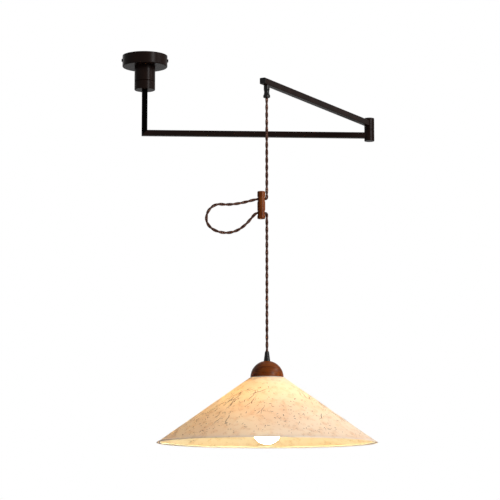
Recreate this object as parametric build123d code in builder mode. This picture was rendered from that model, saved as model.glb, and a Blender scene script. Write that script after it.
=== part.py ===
from build123d import *
import os
from math import cos, pi, radians, sin, sqrt, tan

# Swing-arm pendant light with a paper cone shade, in millimetres with +Z up.
# The origin is the centre of the ceiling plane above the canopy, and +X runs
# along the lower arm from the ceiling swivel to the elbow.

os.makedirs("parts", exist_ok=True)

# Clearances between pieces
RUNNING_CLEARANCE = 0.05
SEAT_CLEARANCE = 0.1
PASSAGE_CLEARANCE = 0.3

# Ceiling canopy, a spun steel cup
CANOPY_DIAMETER = 100.0
CANOPY_HEIGHT = 25.0
CANOPY_WALL = 1.2
CANOPY_EDGE_RADIUS = 2.0

# Strap bracket that is screwed to the ceiling
BRACKET_WIDTH = 20.0
BRACKET_THICKNESS = 1.6
BRACKET_BEND_RADIUS = 1.44
BRACKET_TAB_DROP = 16.0
CEILING_SLOT_SPACING = 54.0
CEILING_SLOT_WIDTH = 5.0
CEILING_SLOT_LENGTH = 14.0

# Two screws that hold the canopy on the bracket's tabs
SIDE_SCREW_DIAMETER = 4.0
SIDE_SCREW_HEAD_DIAMETER = 7.5
SIDE_SCREW_HEAD_HEIGHT = 2.0
SIDE_SCREW_LENGTH = 7.0
SIDE_SCREW_DROP = 10.0

# Terminal block under the bracket's tongue
TERMINAL_POLES = 3
TERMINAL_PITCH = 9.0
TERMINAL_POLE_WIDTH = 7.6
TERMINAL_DEPTH = 16.0
TERMINAL_HEIGHT = 11.0
TERMINAL_EDGE = 1.52
TERMINAL_WEB = 4.0
TERMINAL_SETBACK = 21.0
TERMINAL_ENTRY_DIAMETER = 3.4
TERMINAL_SCREW_DIAMETER = 4.2
TERMINAL_SCREW_DEPTH = 3.0
TONGUE_MARGIN = 2.0

# Ceiling swivel: a fixed housing over a turning cup, on a hollow threaded nipple
SWIVEL_DIAMETER = 46.0
SWIVEL_HOUSING_HEIGHT = 33.0
SWIVEL_CUP_HEIGHT = 18.4
SWIVEL_WALL = 2.5
SWIVEL_FLOOR = 4.0
SWIVEL_EDGE = 0.7
SWIVEL_SEAM = 0.6
SWIVEL_WASHER_DIAMETER = 26.0
SWIVEL_PLATE_THICKNESS = 3.0
SWIVEL_PLATE_LEDGE = 1.2
NIPPLE_DIAMETER = 10.0
NIPPLE_BORE = 7.0
NIPPLE_END = 1.4
NUT_ACROSS_FLATS = 14.0
NUT_THICKNESS = 5.0
WASHER_DIAMETER = 18.0
WASHER_THICKNESS = 1.0

# Pin and groove that stop the swivel
SWIVEL_TURN = 165.0
STOP_PIN_DIAMETER = 3.0
STOP_PIN_RADIUS = 16.0
STOP_PIN_REACH = 2.0
STOP_GROOVE_SPARE = 0.3

# Square tube of the drop and both arms
TUBE_SIZE = 12.7
TUBE_WALL = 1.2
TUBE_CORNER = 1.6
TUBE_INNER_CORNER = 0.4
TUBE_UPSTAND = 1.5
LOWER_ARM_DROP = 174.0
LOWER_ARM_LENGTH = 500.0
UPPER_ARM_LENGTH = 500.0
ARM_ANGLE = 58.0
END_PLUG_THICKNESS = 1.6
END_PLUG_DEPTH = 8.0
END_PLUG_EDGE = 0.4

# Elbow: two knuckles, floor to floor, on a hollow threaded nipple
KNUCKLE_DIAMETER = 22.4
KNUCKLE_HEIGHT = 25.5
KNUCKLE_WALL = 2.4
KNUCKLE_FLOOR = 3.5
KNUCKLE_EDGE = 0.6
ELBOW_SEAM = 0.5
ELBOW_PLUG_THICKNESS = 3.0
ELBOW_PLUG_EDGE = 0.3
ELBOW_NIPPLE_DIAMETER = 8.0
ELBOW_NIPPLE_BORE = 5.8
ELBOW_NIPPLE_END = 0.7
ELBOW_NUT_ACROSS_FLATS = 12.0
ELBOW_NUT_THICKNESS = 3.0
ELBOW_WASHER_DIAMETER = 15.0
ELBOW_WASHER_THICKNESS = 0.8

# Gland under the upper arm's tip, where the cord comes out
GLAND_SETBACK = 18.0
GLAND_LENGTH = 25.6
GLAND_COLLAR_DIAMETER = 12.2
GLAND_COLLAR_LENGTH = 9.0
GLAND_WAIST_DIAMETER = 10.6
GLAND_LIP_DIAMETER = 14.2
GLAND_LIP_LENGTH = 4.5
GLAND_LIP_RADIUS = 1.5
GLAND_STEM_DIAMETER = 8.0
GLAND_BORE = 6.4
GLAND_BUSH_DIAMETER = 9.6
GLAND_BUSH_LENGTH = 4.5
GLAND_BUSH_EDGE = 0.8
GLAND_NUT_THICKNESS = 2.5
GLAND_STEM_END = 0.3

# Cable inside the arms, and the leads inside the canopy
CABLE_DIAMETER = 5.0
CABLE_BEND = 5.0
LEAD_DIAMETER = 2.0
LEAD_SPREAD = 1.3
LEAD_RISE = 5.0
LEAD_BEND = 4.0
LEAD_STRIP = 4.0

# Twisted textile cord and the wooden toggle that gathers it
CORD_DIAMETER = 5.8
CORD_FOLD_RADIUS = 6.0
# Share of a straight run that the arc at one of its ends may take
CORD_ARC_SHARE = 0.45
TOGGLE_DROP = 192.5
TOGGLE_DIAMETER = 16.0
TOGGLE_LENGTH = 56.0
TOGGLE_EDGE_RADIUS = 1.5
TOGGLE_UPPER_HOLE = 16.0
TOGGLE_LOWER_HOLE = 44.0
TOGGLE_HOLE_DIAMETER = 6.6
TOGGLE_MOUTH_DEPTH = 3.0

# Strain relief and turned wooden cap
PENDANT_DROP = 696.0
RELIEF_HEIGHT = 19.5
RELIEF_TOP_DIAMETER = 8.2
RELIEF_BOTTOM_DIAMETER = 13.2
RELIEF_SOCKET_DEPTH = 7.0
CAP_RADIUS = 33.0
CAP_HEIGHT = 32.0
CAP_HOLLOW_DIAMETER = 44.4
CAP_HOLLOW_DEPTH = 20.0
CAP_EDGE_RADIUS = 0.8

# Screw lamp holder
HOLDER_CAP_DIAMETER = 41.0
HOLDER_CAP_HEIGHT = 17.5
HOLDER_CAP_TOP = 3.0
HOLDER_CAP_WALL = 2.0
HOLDER_EDGE = 1.0
HOLDER_NECK_LENGTH = 10.0
HOLDER_FLANGE_DIAMETER = 43.0
HOLDER_SLEEVE_DIAMETER = 39.0
HOLDER_SLEEVE_LENGTH = 49.5
HOLDER_BORE = 33.2
HOLDER_CORE_LENGTH = 34.0
HOLDER_CORE_HOLE_SPACING = 16.0
HOLDER_CORE_HOLE_DIAMETER = 4.0
SHELL_BORE = 26.8
SHELL_WALL = 0.5
SHELL_LENGTH = 23.5
CONTACT_WIDTH = 6.0
CONTACT_LENGTH = 20.0
CONTACT_THICKNESS = 1.2
SHADE_RING_DIAMETER = 52.0
SHADE_RING_HEIGHT = 6.0
SHADE_RING_NOTCHES = 12
SHADE_RING_NOTCH_RADIUS = 2.0

# Paper cone shade, its fitter plate and its rim wire
SHADE_TOP_DIAMETER = 70.4
SHADE_RIM_DIAMETER = 440.0
SHADE_HEIGHT = 129.6
SHADE_TOP_STEP = 0.4
PAPER_THICKNESS = 1.0
HEM_HEIGHT = 3.5
HEM_THICKNESS = 0.5
PLATE_THICKNESS = 1.2
PLATE_VENTS = 6
PLATE_VENT_DIAMETER = 5.0
RIM_WIRE_DIAMETER = 2.5
RIM_WIRE_LIFT = 0.5

# Screw-base bulb
BULB_DIAMETER = 60.0
BULB_LENGTH = 106.0
BULB_BELOW_RIM = 2.0
BULB_NECK_DIAMETER = 29.0
BULB_WALL = 1.0
BULB_NECK_HEIGHT = 79.0
BULB_BASE_DIAMETER = 26.2
BULB_BASE_LENGTH = 23.0
BULB_CONTACT_DIAMETER = 9.0
BULB_CONTACT_HEIGHT = 1.0
BULB_SHOULDER_ANGLE = 35.0
BULB_BOWL_ANGLE = -30.0

# Heights on the ceiling axis
CANOPY_FLOOR_Z = CANOPY_WALL - CANOPY_HEIGHT
NUT_TOP_Z = CANOPY_FLOOR_Z + WASHER_THICKNESS + NUT_THICKNESS
NIPPLE_TOP_Z = NUT_TOP_Z + NIPPLE_END
SEAM_Z = -CANOPY_HEIGHT - SWIVEL_HOUSING_HEIGHT
CUP_TOP_Z = SEAM_Z - SWIVEL_SEAM
CUP_FLOOR_Z = CUP_TOP_Z - SWIVEL_FLOOR
CUP_BOTTOM_Z = CUP_TOP_Z - SWIVEL_CUP_HEIGHT
LOCK_NUT_TOP_Z = CUP_FLOOR_Z - WASHER_THICKNESS
NIPPLE_BOTTOM_Z = LOCK_NUT_TOP_Z - NUT_THICKNESS - NIPPLE_END
PLATE_SEAT_Z = CUP_BOTTOM_Z + SWIVEL_PLATE_THICKNESS
DROP_TUBE_TOP_Z = PLATE_SEAT_Z + TUBE_UPSTAND

# Heights on the elbow axis
LOWER_ARM_Z = -LOWER_ARM_DROP
LOWER_KNUCKLE_TOP_Z = LOWER_ARM_Z + KNUCKLE_HEIGHT / 2
LOWER_KNUCKLE_BOTTOM_Z = LOWER_KNUCKLE_TOP_Z - KNUCKLE_HEIGHT
UPPER_KNUCKLE_BOTTOM_Z = LOWER_KNUCKLE_TOP_Z + ELBOW_SEAM
UPPER_KNUCKLE_TOP_Z = UPPER_KNUCKLE_BOTTOM_Z + KNUCKLE_HEIGHT
UPPER_ARM_Z = UPPER_KNUCKLE_BOTTOM_Z + KNUCKLE_HEIGHT / 2
JAM_NUT_TOP_Z = LOWER_KNUCKLE_TOP_Z - KNUCKLE_FLOOR
ELBOW_NIPPLE_BOTTOM_Z = JAM_NUT_TOP_Z - ELBOW_NUT_THICKNESS - ELBOW_NIPPLE_END
ELBOW_WASHER_Z = UPPER_KNUCKLE_BOTTOM_Z + KNUCKLE_FLOOR
ELBOW_LOCK_NUT_Z = ELBOW_WASHER_Z + ELBOW_WASHER_THICKNESS
ELBOW_NIPPLE_TOP_Z = ELBOW_LOCK_NUT_Z + ELBOW_NUT_THICKNESS + ELBOW_NIPPLE_END
KNUCKLE_BORE_RADIUS = KNUCKLE_DIAMETER / 2 - KNUCKLE_WALL
ARM_START = KNUCKLE_BORE_RADIUS + 2 * SEAT_CLEARANCE
TUBE_INSIDE = TUBE_SIZE - 2 * TUBE_WALL

# Directions and the gland's place under the upper arm
ARM_DIRECTION = Vector(-cos(radians(ARM_ANGLE)), -sin(radians(ARM_ANGLE)), 0)
ARM_SIDE = Vector(0, 0, 1).cross(ARM_DIRECTION)
GLAND_REACH = UPPER_ARM_LENGTH - GLAND_SETBACK
GLAND_X = LOWER_ARM_LENGTH + ARM_DIRECTION.X * GLAND_REACH
GLAND_Y = ARM_DIRECTION.Y * GLAND_REACH
ARM_UNDERSIDE_Z = UPPER_ARM_Z - TUBE_SIZE / 2
MOUTH_Z = ARM_UNDERSIDE_Z - GLAND_LENGTH

# Heights on the pendant axis
TOGGLE_TOP_Z = MOUTH_Z - TOGGLE_DROP
UPPER_HOLE_Z = TOGGLE_TOP_Z - TOGGLE_UPPER_HOLE
LOWER_HOLE_Z = TOGGLE_TOP_Z - TOGGLE_LOWER_HOLE
TOGGLE_OFFSET = TOGGLE_DIAMETER / 2 + CORD_DIAMETER / 2 + 2 * SEAT_CLEARANCE
TOGGLE_FAR_SIDE = TOGGLE_OFFSET + TOGGLE_DIAMETER / 2
RELIEF_TOP_Z = -PENDANT_DROP
CAP_TOP_Z = RELIEF_TOP_Z - RELIEF_HEIGHT
CAP_BOTTOM_Z = CAP_TOP_Z - CAP_HEIGHT
HOLDER_TOP_Z = CAP_BOTTOM_Z + CAP_HOLLOW_DEPTH
HOLDER_INSIDE_Z = HOLDER_TOP_Z - HOLDER_CAP_TOP
HOLDER_CAP_BOTTOM_Z = HOLDER_TOP_Z - HOLDER_CAP_HEIGHT
PLATE_BOTTOM_Z = CAP_BOTTOM_Z - PLATE_THICKNESS
SLEEVE_BOTTOM_Z = CAP_BOTTOM_Z - HOLDER_SLEEVE_LENGTH
SHADE_TOP_Z = CAP_BOTTOM_Z - SHADE_TOP_STEP
RIM_Z = SHADE_TOP_Z - SHADE_HEIGHT
BULB_BOTTOM_Z = RIM_Z - BULB_BELOW_RIM
BULB_NECK_Z = BULB_BOTTOM_Z + BULB_NECK_HEIGHT
BULB_BASE_TOP_Z = BULB_NECK_Z + BULB_BASE_LENGTH
BULB_TIP_Z = BULB_BOTTOM_Z + BULB_LENGTH
CONTACT_BOTTOM_Z = BULB_TIP_Z + PASSAGE_CLEARANCE
CORE_BOTTOM_Z = CONTACT_BOTTOM_Z + CONTACT_THICKNESS

# Planes and axes on which the pieces are drawn
PENDANT_AXIS = Axis((GLAND_X, GLAND_Y, 0), (0, 0, 1))
PENDANT_SECTION = Plane(origin=(GLAND_X, GLAND_Y, 0), x_dir=(1, 0, 0), z_dir=(0, -1, 0))
MITRE_PLANE = Plane(origin=(0, 0, LOWER_ARM_Z), x_dir=(0, 1, 0), z_dir=(-1, 0, 1))


def ceiling_level(z):
    """Level plane on the ceiling swivel's axis."""
    return Plane(origin=(0, 0, z))


def elbow_level(z):
    """Level plane on the elbow's axis, square to the upper arm."""
    return Plane(origin=(LOWER_ARM_LENGTH, 0, z), x_dir=ARM_DIRECTION, z_dir=(0, 0, 1))


def pendant_level(z):
    """Level plane on the pendant's axis."""
    return Plane(origin=(GLAND_X, GLAND_Y, z))


def lower_arm_plane(x):
    """Plane across the lower arm, facing along it."""
    return Plane(origin=(x, 0, LOWER_ARM_Z), x_dir=(0, 1, 0), z_dir=(1, 0, 0))


def upper_arm_plane(reach):
    """Plane across the upper arm at a distance from the elbow, facing its tip."""
    place = Vector(LOWER_ARM_LENGTH, 0, UPPER_ARM_Z) + ARM_DIRECTION * reach
    return Plane(origin=place, x_dir=ARM_SIDE, z_dir=ARM_DIRECTION)


def ring(plane, outer, inner, height):
    """Plain ring or tube that stands on a plane."""
    with BuildPart() as piece:
        with BuildSketch(plane):
            Circle(outer / 2)
            Circle(inner / 2, mode=Mode.SUBTRACT)
        extrude(amount=height)
    return piece


def hex_nut(plane, across_flats, bore, height):
    """Hexagon nut that stands on a plane."""
    with BuildPart() as piece:
        with BuildSketch(plane):
            RegularPolygon(across_flats / 2, 6, major_radius=False)
            Circle(bore / 2, mode=Mode.SUBTRACT)
        extrude(amount=height)
    return piece


def largest_radii(points):
    """Arc radius at each inner point of a route, as large as its two runs allow."""
    radii = []
    for before, here, after in zip(points, points[1:], points[2:]):
        run_in = Vector(here) - Vector(before)
        run_out = Vector(after) - Vector(here)
        turn = radians(run_in.get_angle(run_out))
        radii.append(CORD_ARC_SHARE * min(run_in.length, run_out.length) / tan(turn / 2))
    return radii


def soft_tube(name, points, radii, diameter):
    """Round tube along straight runs that are joined by tangent arcs."""
    with BuildPart() as piece:
        with BuildLine() as route:
            FilletPolyline(*points, radius=radii)
        with BuildSketch(route.line ^ 0):
            Circle(diameter / 2)
        sweep()
    length = sum(edge.length for edge in route.edges())
    section = pi * diameter**2 / 4
    print(
        name,
        "length", round(length, 1),
        "radii", [round(radius, 1) for radius in radii],
        "volume share", round(piece.part.volume / (section * length), 4),
    )
    return piece


# Ceiling bracket: a strap with a tab bent down at each end and a tongue for the terminals
TAB_REACH = CANOPY_DIAMETER / 2 - CANOPY_WALL - PASSAGE_CLEARANCE
TONGUE_END = TERMINAL_SETBACK + TERMINAL_DEPTH + TONGUE_MARGIN
TERMINAL_WIDTH = TERMINAL_PITCH * (TERMINAL_POLES - 1) + TERMINAL_POLE_WIDTH
TAB_FLAT = sqrt(TAB_REACH**2 - (BRACKET_WIDTH / 2) ** 2)
with BuildPart() as ceiling_bracket:
    with BuildSketch(Plane.XZ):
        with Locations((0, -BRACKET_THICKNESS / 2)):
            Rectangle(2 * TAB_FLAT, BRACKET_THICKNESS)
        with GridLocations(2 * TAB_FLAT - BRACKET_THICKNESS, 0, 2, 1):
            with Locations((0, -BRACKET_TAB_DROP / 2)):
                Rectangle(BRACKET_THICKNESS, BRACKET_TAB_DROP)
    extrude(amount=BRACKET_WIDTH / 2, both=True)
    bends = ceiling_bracket.edges().filter_by(Axis.Y).group_by(Axis.Z)[-1]
    fillet(bends, BRACKET_BEND_RADIUS)
    with BuildSketch(Plane.XY):
        with Locations((0, TONGUE_END / 2)):
            Rectangle(TERMINAL_WIDTH, TONGUE_END)
    extrude(amount=-BRACKET_THICKNESS)
    with BuildSketch(Plane.XY):
        with GridLocations(CEILING_SLOT_SPACING, 0, 2, 1):
            SlotOverall(CEILING_SLOT_LENGTH, CEILING_SLOT_WIDTH)
    extrude(amount=-BRACKET_THICKNESS, mode=Mode.SUBTRACT)
    with BuildSketch(Plane.YZ):
        with Locations((0, -SIDE_SCREW_DROP)):
            Circle(SIDE_SCREW_DIAMETER / 2)
    extrude(amount=CANOPY_DIAMETER / 2, both=True, mode=Mode.SUBTRACT)
ceiling_bracket.part.label = "ceiling_bracket"
export_step(ceiling_bracket.part, "parts/ceiling_bracket.step")

# Canopy: open at the ceiling, with holes for the nipple and the side screws
with BuildPart() as canopy:
    with BuildSketch(ceiling_level(-CANOPY_HEIGHT)):
        Circle(CANOPY_DIAMETER / 2)
    extrude(amount=CANOPY_HEIGHT)
    fillet(canopy.edges().group_by(Axis.Z)[0], CANOPY_EDGE_RADIUS)
    with BuildSketch(ceiling_level(CANOPY_FLOOR_Z)):
        Circle(CANOPY_DIAMETER / 2 - CANOPY_WALL)
    extrude(amount=-CANOPY_FLOOR_Z, mode=Mode.SUBTRACT)
    with BuildSketch(ceiling_level(CANOPY_FLOOR_Z)):
        Circle(NIPPLE_DIAMETER / 2 + SEAT_CLEARANCE)
    extrude(amount=-CANOPY_WALL, mode=Mode.SUBTRACT)
    with BuildSketch(Plane.YZ):
        with Locations((0, -SIDE_SCREW_DROP)):
            Circle(SIDE_SCREW_DIAMETER / 2 + PASSAGE_CLEARANCE)
    extrude(amount=CANOPY_DIAMETER, both=True, mode=Mode.SUBTRACT)
canopy.part.label = "canopy"
export_step(canopy.part, "parts/canopy.step")

# Canopy screws: a pair with low domed heads
with BuildPart() as canopy_screws:
    for side in (1, -1):
        head_plane = Plane(
            origin=(side * CANOPY_DIAMETER / 2, 0, -SIDE_SCREW_DROP),
            x_dir=(0, 1, 0),
            z_dir=(side, 0, 0),
        )
        with BuildSketch(head_plane):
            Circle(SIDE_SCREW_HEAD_DIAMETER / 2)
        extrude(amount=SIDE_SCREW_HEAD_HEIGHT)
        with BuildSketch(head_plane):
            Circle(SIDE_SCREW_DIAMETER / 2 - RUNNING_CLEARANCE)
        extrude(amount=-SIDE_SCREW_LENGTH)
    head_faces = canopy_screws.faces().filter_by(Plane.YZ).sort_by(Axis.X)
    for head_face in (head_faces[0], head_faces[-1]):
        chamfer(head_face.edges(), SIDE_SCREW_HEAD_HEIGHT / 2)
canopy_screws.part.label = "canopy_screws"
export_step(canopy_screws.part, "parts/canopy_screws.step")

# Terminal block: a pole for each conductor on a common web
TERMINAL_ENTRY_Z = -BRACKET_THICKNESS - TERMINAL_HEIGHT / 2
TERMINAL_MIDDLE_Y = TERMINAL_SETBACK + TERMINAL_DEPTH / 2
terminal_top = Plane(origin=(0, TERMINAL_MIDDLE_Y, -BRACKET_THICKNESS))
terminal_face = Plane(
    origin=(0, TERMINAL_SETBACK, TERMINAL_ENTRY_Z), x_dir=(1, 0, 0), z_dir=(0, -1, 0)
)
with BuildPart() as terminal_block:
    with BuildSketch(terminal_top):
        Rectangle(TERMINAL_WIDTH, TERMINAL_DEPTH / 2)
    extrude(amount=-TERMINAL_WEB)
    with BuildSketch(terminal_top):
        with GridLocations(TERMINAL_PITCH, 0, TERMINAL_POLES, 1):
            Rectangle(TERMINAL_POLE_WIDTH, TERMINAL_DEPTH)
    extrude(amount=-TERMINAL_HEIGHT)
    chamfer(terminal_block.edges().filter_by(Axis.Y).group_by(Axis.Z)[0], TERMINAL_EDGE)
    with BuildSketch(terminal_face):
        with GridLocations(TERMINAL_PITCH, 0, TERMINAL_POLES, 1):
            Circle(TERMINAL_ENTRY_DIAMETER / 2)
    extrude(amount=-TERMINAL_DEPTH, mode=Mode.SUBTRACT)
    with BuildSketch(terminal_top.offset(-TERMINAL_HEIGHT)):
        with GridLocations(TERMINAL_PITCH, 0, TERMINAL_POLES, 1):
            Circle(TERMINAL_SCREW_DIAMETER / 2)
    extrude(amount=TERMINAL_SCREW_DEPTH, mode=Mode.SUBTRACT)
terminal_block.part.label = "terminal_block"
export_step(terminal_block.part, "parts/terminal_block.step")

# Canopy leads: a live and a neutral wire from the cable's end to the outer terminals
LEAD_TOP_Z = NIPPLE_TOP_Z + LEAD_RISE
lead_reach = TERMINAL_PITCH * (TERMINAL_POLES - 1) / 2
with BuildPart() as canopy_leads:
    for side in (1, -1):
        with BuildLine() as lead_route:
            FilletPolyline(
                (side * LEAD_SPREAD, 0, NIPPLE_TOP_Z),
                (side * LEAD_SPREAD, 0, LEAD_TOP_Z),
                (side * lead_reach, TERMINAL_SETBACK / 2, TERMINAL_ENTRY_Z),
                (side * lead_reach, TERMINAL_SETBACK + LEAD_STRIP, TERMINAL_ENTRY_Z),
                radius=LEAD_BEND,
            )
        with BuildSketch(lead_route.line ^ 0):
            Circle(LEAD_DIAMETER / 2)
        sweep()
canopy_leads.part.label = "canopy_leads"
export_step(canopy_leads.part, "parts/canopy_leads.step")

# Swivel nipple, with the washer and nut that clamp the canopy to the housing
swivel_nipple = ring(
    ceiling_level(NIPPLE_BOTTOM_Z), NIPPLE_DIAMETER, NIPPLE_BORE, NIPPLE_TOP_Z - NIPPLE_BOTTOM_Z
)
swivel_nipple.part.label = "swivel_nipple"
export_step(swivel_nipple.part, "parts/swivel_nipple.step")

NUT_BORE = NIPPLE_DIAMETER + 2 * RUNNING_CLEARANCE
canopy_washer = ring(ceiling_level(CANOPY_FLOOR_Z), WASHER_DIAMETER, NUT_BORE, WASHER_THICKNESS)
canopy_washer.part.label = "canopy_washer"
export_step(canopy_washer.part, "parts/canopy_washer.step")

canopy_nut = hex_nut(
    ceiling_level(NUT_TOP_Z - NUT_THICKNESS), NUT_ACROSS_FLATS, NUT_BORE, NUT_THICKNESS
)
canopy_nut.part.label = "canopy_nut"
export_step(canopy_nut.part, "parts/canopy_nut.step")

# Swivel housing: the fixed upper half of the barrel, closed at the seam
with BuildPart() as swivel_housing:
    with BuildSketch(ceiling_level(SEAM_Z)):
        Circle(SWIVEL_DIAMETER / 2)
    extrude(amount=SWIVEL_HOUSING_HEIGHT)
    chamfer(swivel_housing.edges().group_by(Axis.Z)[0], SWIVEL_EDGE)
    with BuildSketch(ceiling_level(SEAM_Z + SWIVEL_FLOOR)):
        Circle(SWIVEL_DIAMETER / 2 - SWIVEL_WALL)
    extrude(amount=SWIVEL_HOUSING_HEIGHT - SWIVEL_FLOOR, mode=Mode.SUBTRACT)
    with BuildSketch(ceiling_level(SEAM_Z)):
        Circle(NUT_BORE / 2)
        with Locations((STOP_PIN_RADIUS, 0)):
            Circle(STOP_PIN_DIAMETER / 2 + RUNNING_CLEARANCE)
    extrude(amount=SWIVEL_FLOOR, mode=Mode.SUBTRACT)
swivel_housing.part.label = "swivel_housing"
export_step(swivel_housing.part, "parts/swivel_housing.step")

# Stop pin, pressed into the housing's floor and reaching into the cup's groove
with BuildPart() as stop_pin:
    with BuildSketch(ceiling_level(CUP_TOP_Z - STOP_PIN_REACH)):
        with Locations((STOP_PIN_RADIUS, 0)):
            Circle(STOP_PIN_DIAMETER / 2)
    extrude(amount=STOP_PIN_REACH + SWIVEL_SEAM + SWIVEL_FLOOR)
stop_pin.part.label = "stop_pin"
export_step(stop_pin.part, "parts/stop_pin.step")

# Friction washer in the seam, which the swivel's two halves turn on
swivel_friction_washer = ring(ceiling_level(CUP_TOP_Z), SWIVEL_WASHER_DIAMETER, NUT_BORE, SWIVEL_SEAM)
swivel_friction_washer.part.label = "swivel_friction_washer"
export_step(swivel_friction_washer.part, "parts/swivel_friction_washer.step")

# Swivel cup: the turning lower half, with a stop groove cut in its top
with BuildPart() as swivel_cup:
    with BuildSketch(ceiling_level(CUP_BOTTOM_Z)):
        Circle(SWIVEL_DIAMETER / 2)
    extrude(amount=SWIVEL_CUP_HEIGHT)
    chamfer(swivel_cup.edges().group_by(Axis.Z)[-1], SWIVEL_EDGE)
    chamfer(swivel_cup.edges().group_by(Axis.Z)[0], SWIVEL_EDGE)
    with BuildSketch(ceiling_level(CUP_BOTTOM_Z)):
        Circle(SWIVEL_DIAMETER / 2 - SWIVEL_WALL)
    extrude(amount=SWIVEL_PLATE_THICKNESS, mode=Mode.SUBTRACT)
    with BuildSketch(ceiling_level(PLATE_SEAT_Z)):
        Circle(SWIVEL_DIAMETER / 2 - SWIVEL_WALL - SWIVEL_PLATE_LEDGE)
    extrude(amount=CUP_FLOOR_Z - PLATE_SEAT_Z, mode=Mode.SUBTRACT)
    with BuildSketch(ceiling_level(CUP_FLOOR_Z)):
        Circle(NUT_BORE / 2)
    extrude(amount=SWIVEL_FLOOR, mode=Mode.SUBTRACT)
    with BuildSketch(ceiling_level(CUP_TOP_Z)):
        SlotArc(
            CenterArc((0, 0), STOP_PIN_RADIUS, -SWIVEL_TURN, 2 * SWIVEL_TURN),
            STOP_PIN_DIAMETER + 2 * STOP_GROOVE_SPARE,
        )
    extrude(amount=-STOP_PIN_REACH - STOP_GROOVE_SPARE, mode=Mode.SUBTRACT)
swivel_cup.part.label = "swivel_cup"
export_step(swivel_cup.part, "parts/swivel_cup.step")

# Spring washer and lock nut under the cup's floor, which set how stiffly it turns
swivel_spring_washer = ring(
    ceiling_level(LOCK_NUT_TOP_Z), WASHER_DIAMETER, NUT_BORE, WASHER_THICKNESS
)
swivel_spring_washer.part.label = "swivel_spring_washer"
export_step(swivel_spring_washer.part, "parts/swivel_spring_washer.step")

swivel_lock_nut = hex_nut(
    ceiling_level(LOCK_NUT_TOP_Z - NUT_THICKNESS), NUT_ACROSS_FLATS, NUT_BORE, NUT_THICKNESS
)
swivel_lock_nut.part.label = "swivel_lock_nut"
export_step(swivel_lock_nut.part, "parts/swivel_lock_nut.step")

# Bottom plate of the cup, through which the drop tube is welded
with BuildPart() as swivel_plate:
    with BuildSketch(ceiling_level(CUP_BOTTOM_Z)):
        Circle(SWIVEL_DIAMETER / 2 - SWIVEL_WALL - SEAT_CLEARANCE)
        RectangleRounded(
            TUBE_SIZE + 2 * RUNNING_CLEARANCE,
            TUBE_SIZE + 2 * RUNNING_CLEARANCE,
            TUBE_CORNER,
            mode=Mode.SUBTRACT,
        )
    extrude(amount=SWIVEL_PLATE_THICKNESS)
swivel_plate.part.label = "swivel_plate"
export_step(swivel_plate.part, "parts/swivel_plate.step")

# Section of the square tube, hollow and with rounded corners
with BuildSketch() as tube_section:
    RectangleRounded(TUBE_SIZE, TUBE_SIZE, TUBE_CORNER)
    RectangleRounded(TUBE_INSIDE, TUBE_INSIDE, TUBE_INNER_CORNER, mode=Mode.SUBTRACT)

# Drop tube and lower arm, mitred where they are welded together
with BuildPart() as drop_tube:
    with BuildSketch(ceiling_level(LOWER_ARM_Z - TUBE_SIZE)):
        add(tube_section.sketch)
    extrude(amount=DROP_TUBE_TOP_Z - LOWER_ARM_Z + TUBE_SIZE)
    split(bisect_by=MITRE_PLANE, keep=Keep.TOP)
drop_tube.part.label = "drop_tube"
export_step(drop_tube.part, "parts/drop_tube.step")

with BuildPart() as lower_arm_tube:
    with BuildSketch(lower_arm_plane(-TUBE_SIZE)):
        add(tube_section.sketch)
    extrude(amount=LOWER_ARM_LENGTH - ARM_START + TUBE_SIZE)
    split(bisect_by=MITRE_PLANE, keep=Keep.BOTTOM)
lower_arm_tube.part.label = "lower_arm_tube"
export_step(lower_arm_tube.part, "parts/lower_arm_tube.step")


def knuckle(bottom_z, floor_z, hole, arm_plane):
    """Short tube with one floor and a square window for the arm that is welded to it."""
    window = TUBE_SIZE + 2 * RUNNING_CLEARANCE
    with BuildPart() as piece:
        with BuildSketch(elbow_level(bottom_z)):
            Circle(KNUCKLE_DIAMETER / 2)
        extrude(amount=KNUCKLE_HEIGHT)
        chamfer(piece.edges().group_by(Axis.Z)[0], KNUCKLE_EDGE)
        chamfer(piece.edges().group_by(Axis.Z)[-1], KNUCKLE_EDGE)
        with BuildSketch(elbow_level(bottom_z)):
            Circle(KNUCKLE_BORE_RADIUS)
        extrude(amount=KNUCKLE_HEIGHT, mode=Mode.SUBTRACT)
        with BuildSketch(elbow_level(floor_z)):
            Circle(KNUCKLE_BORE_RADIUS + KNUCKLE_WALL / 2)
        extrude(amount=KNUCKLE_FLOOR)
        with BuildSketch(elbow_level(floor_z)):
            Circle(hole / 2)
        extrude(amount=KNUCKLE_FLOOR, mode=Mode.SUBTRACT)
        with BuildSketch(arm_plane):
            RectangleRounded(window, window, TUBE_CORNER)
        extrude(amount=KNUCKLE_DIAMETER, mode=Mode.SUBTRACT)
    return piece


ELBOW_HOLE = ELBOW_NIPPLE_DIAMETER + 2 * RUNNING_CLEARANCE
lower_knuckle = knuckle(
    LOWER_KNUCKLE_BOTTOM_Z,
    JAM_NUT_TOP_Z,
    ELBOW_HOLE,
    Plane(origin=(LOWER_ARM_LENGTH, 0, LOWER_ARM_Z), x_dir=(0, 1, 0), z_dir=(-1, 0, 0)),
)
lower_knuckle.part.label = "lower_knuckle"
export_step(lower_knuckle.part, "parts/lower_knuckle.step")

upper_knuckle = knuckle(
    UPPER_KNUCKLE_BOTTOM_Z, UPPER_KNUCKLE_BOTTOM_Z, ELBOW_HOLE, upper_arm_plane(0)
)
upper_knuckle.part.label = "upper_knuckle"
export_step(upper_knuckle.part, "parts/upper_knuckle.step")

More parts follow.
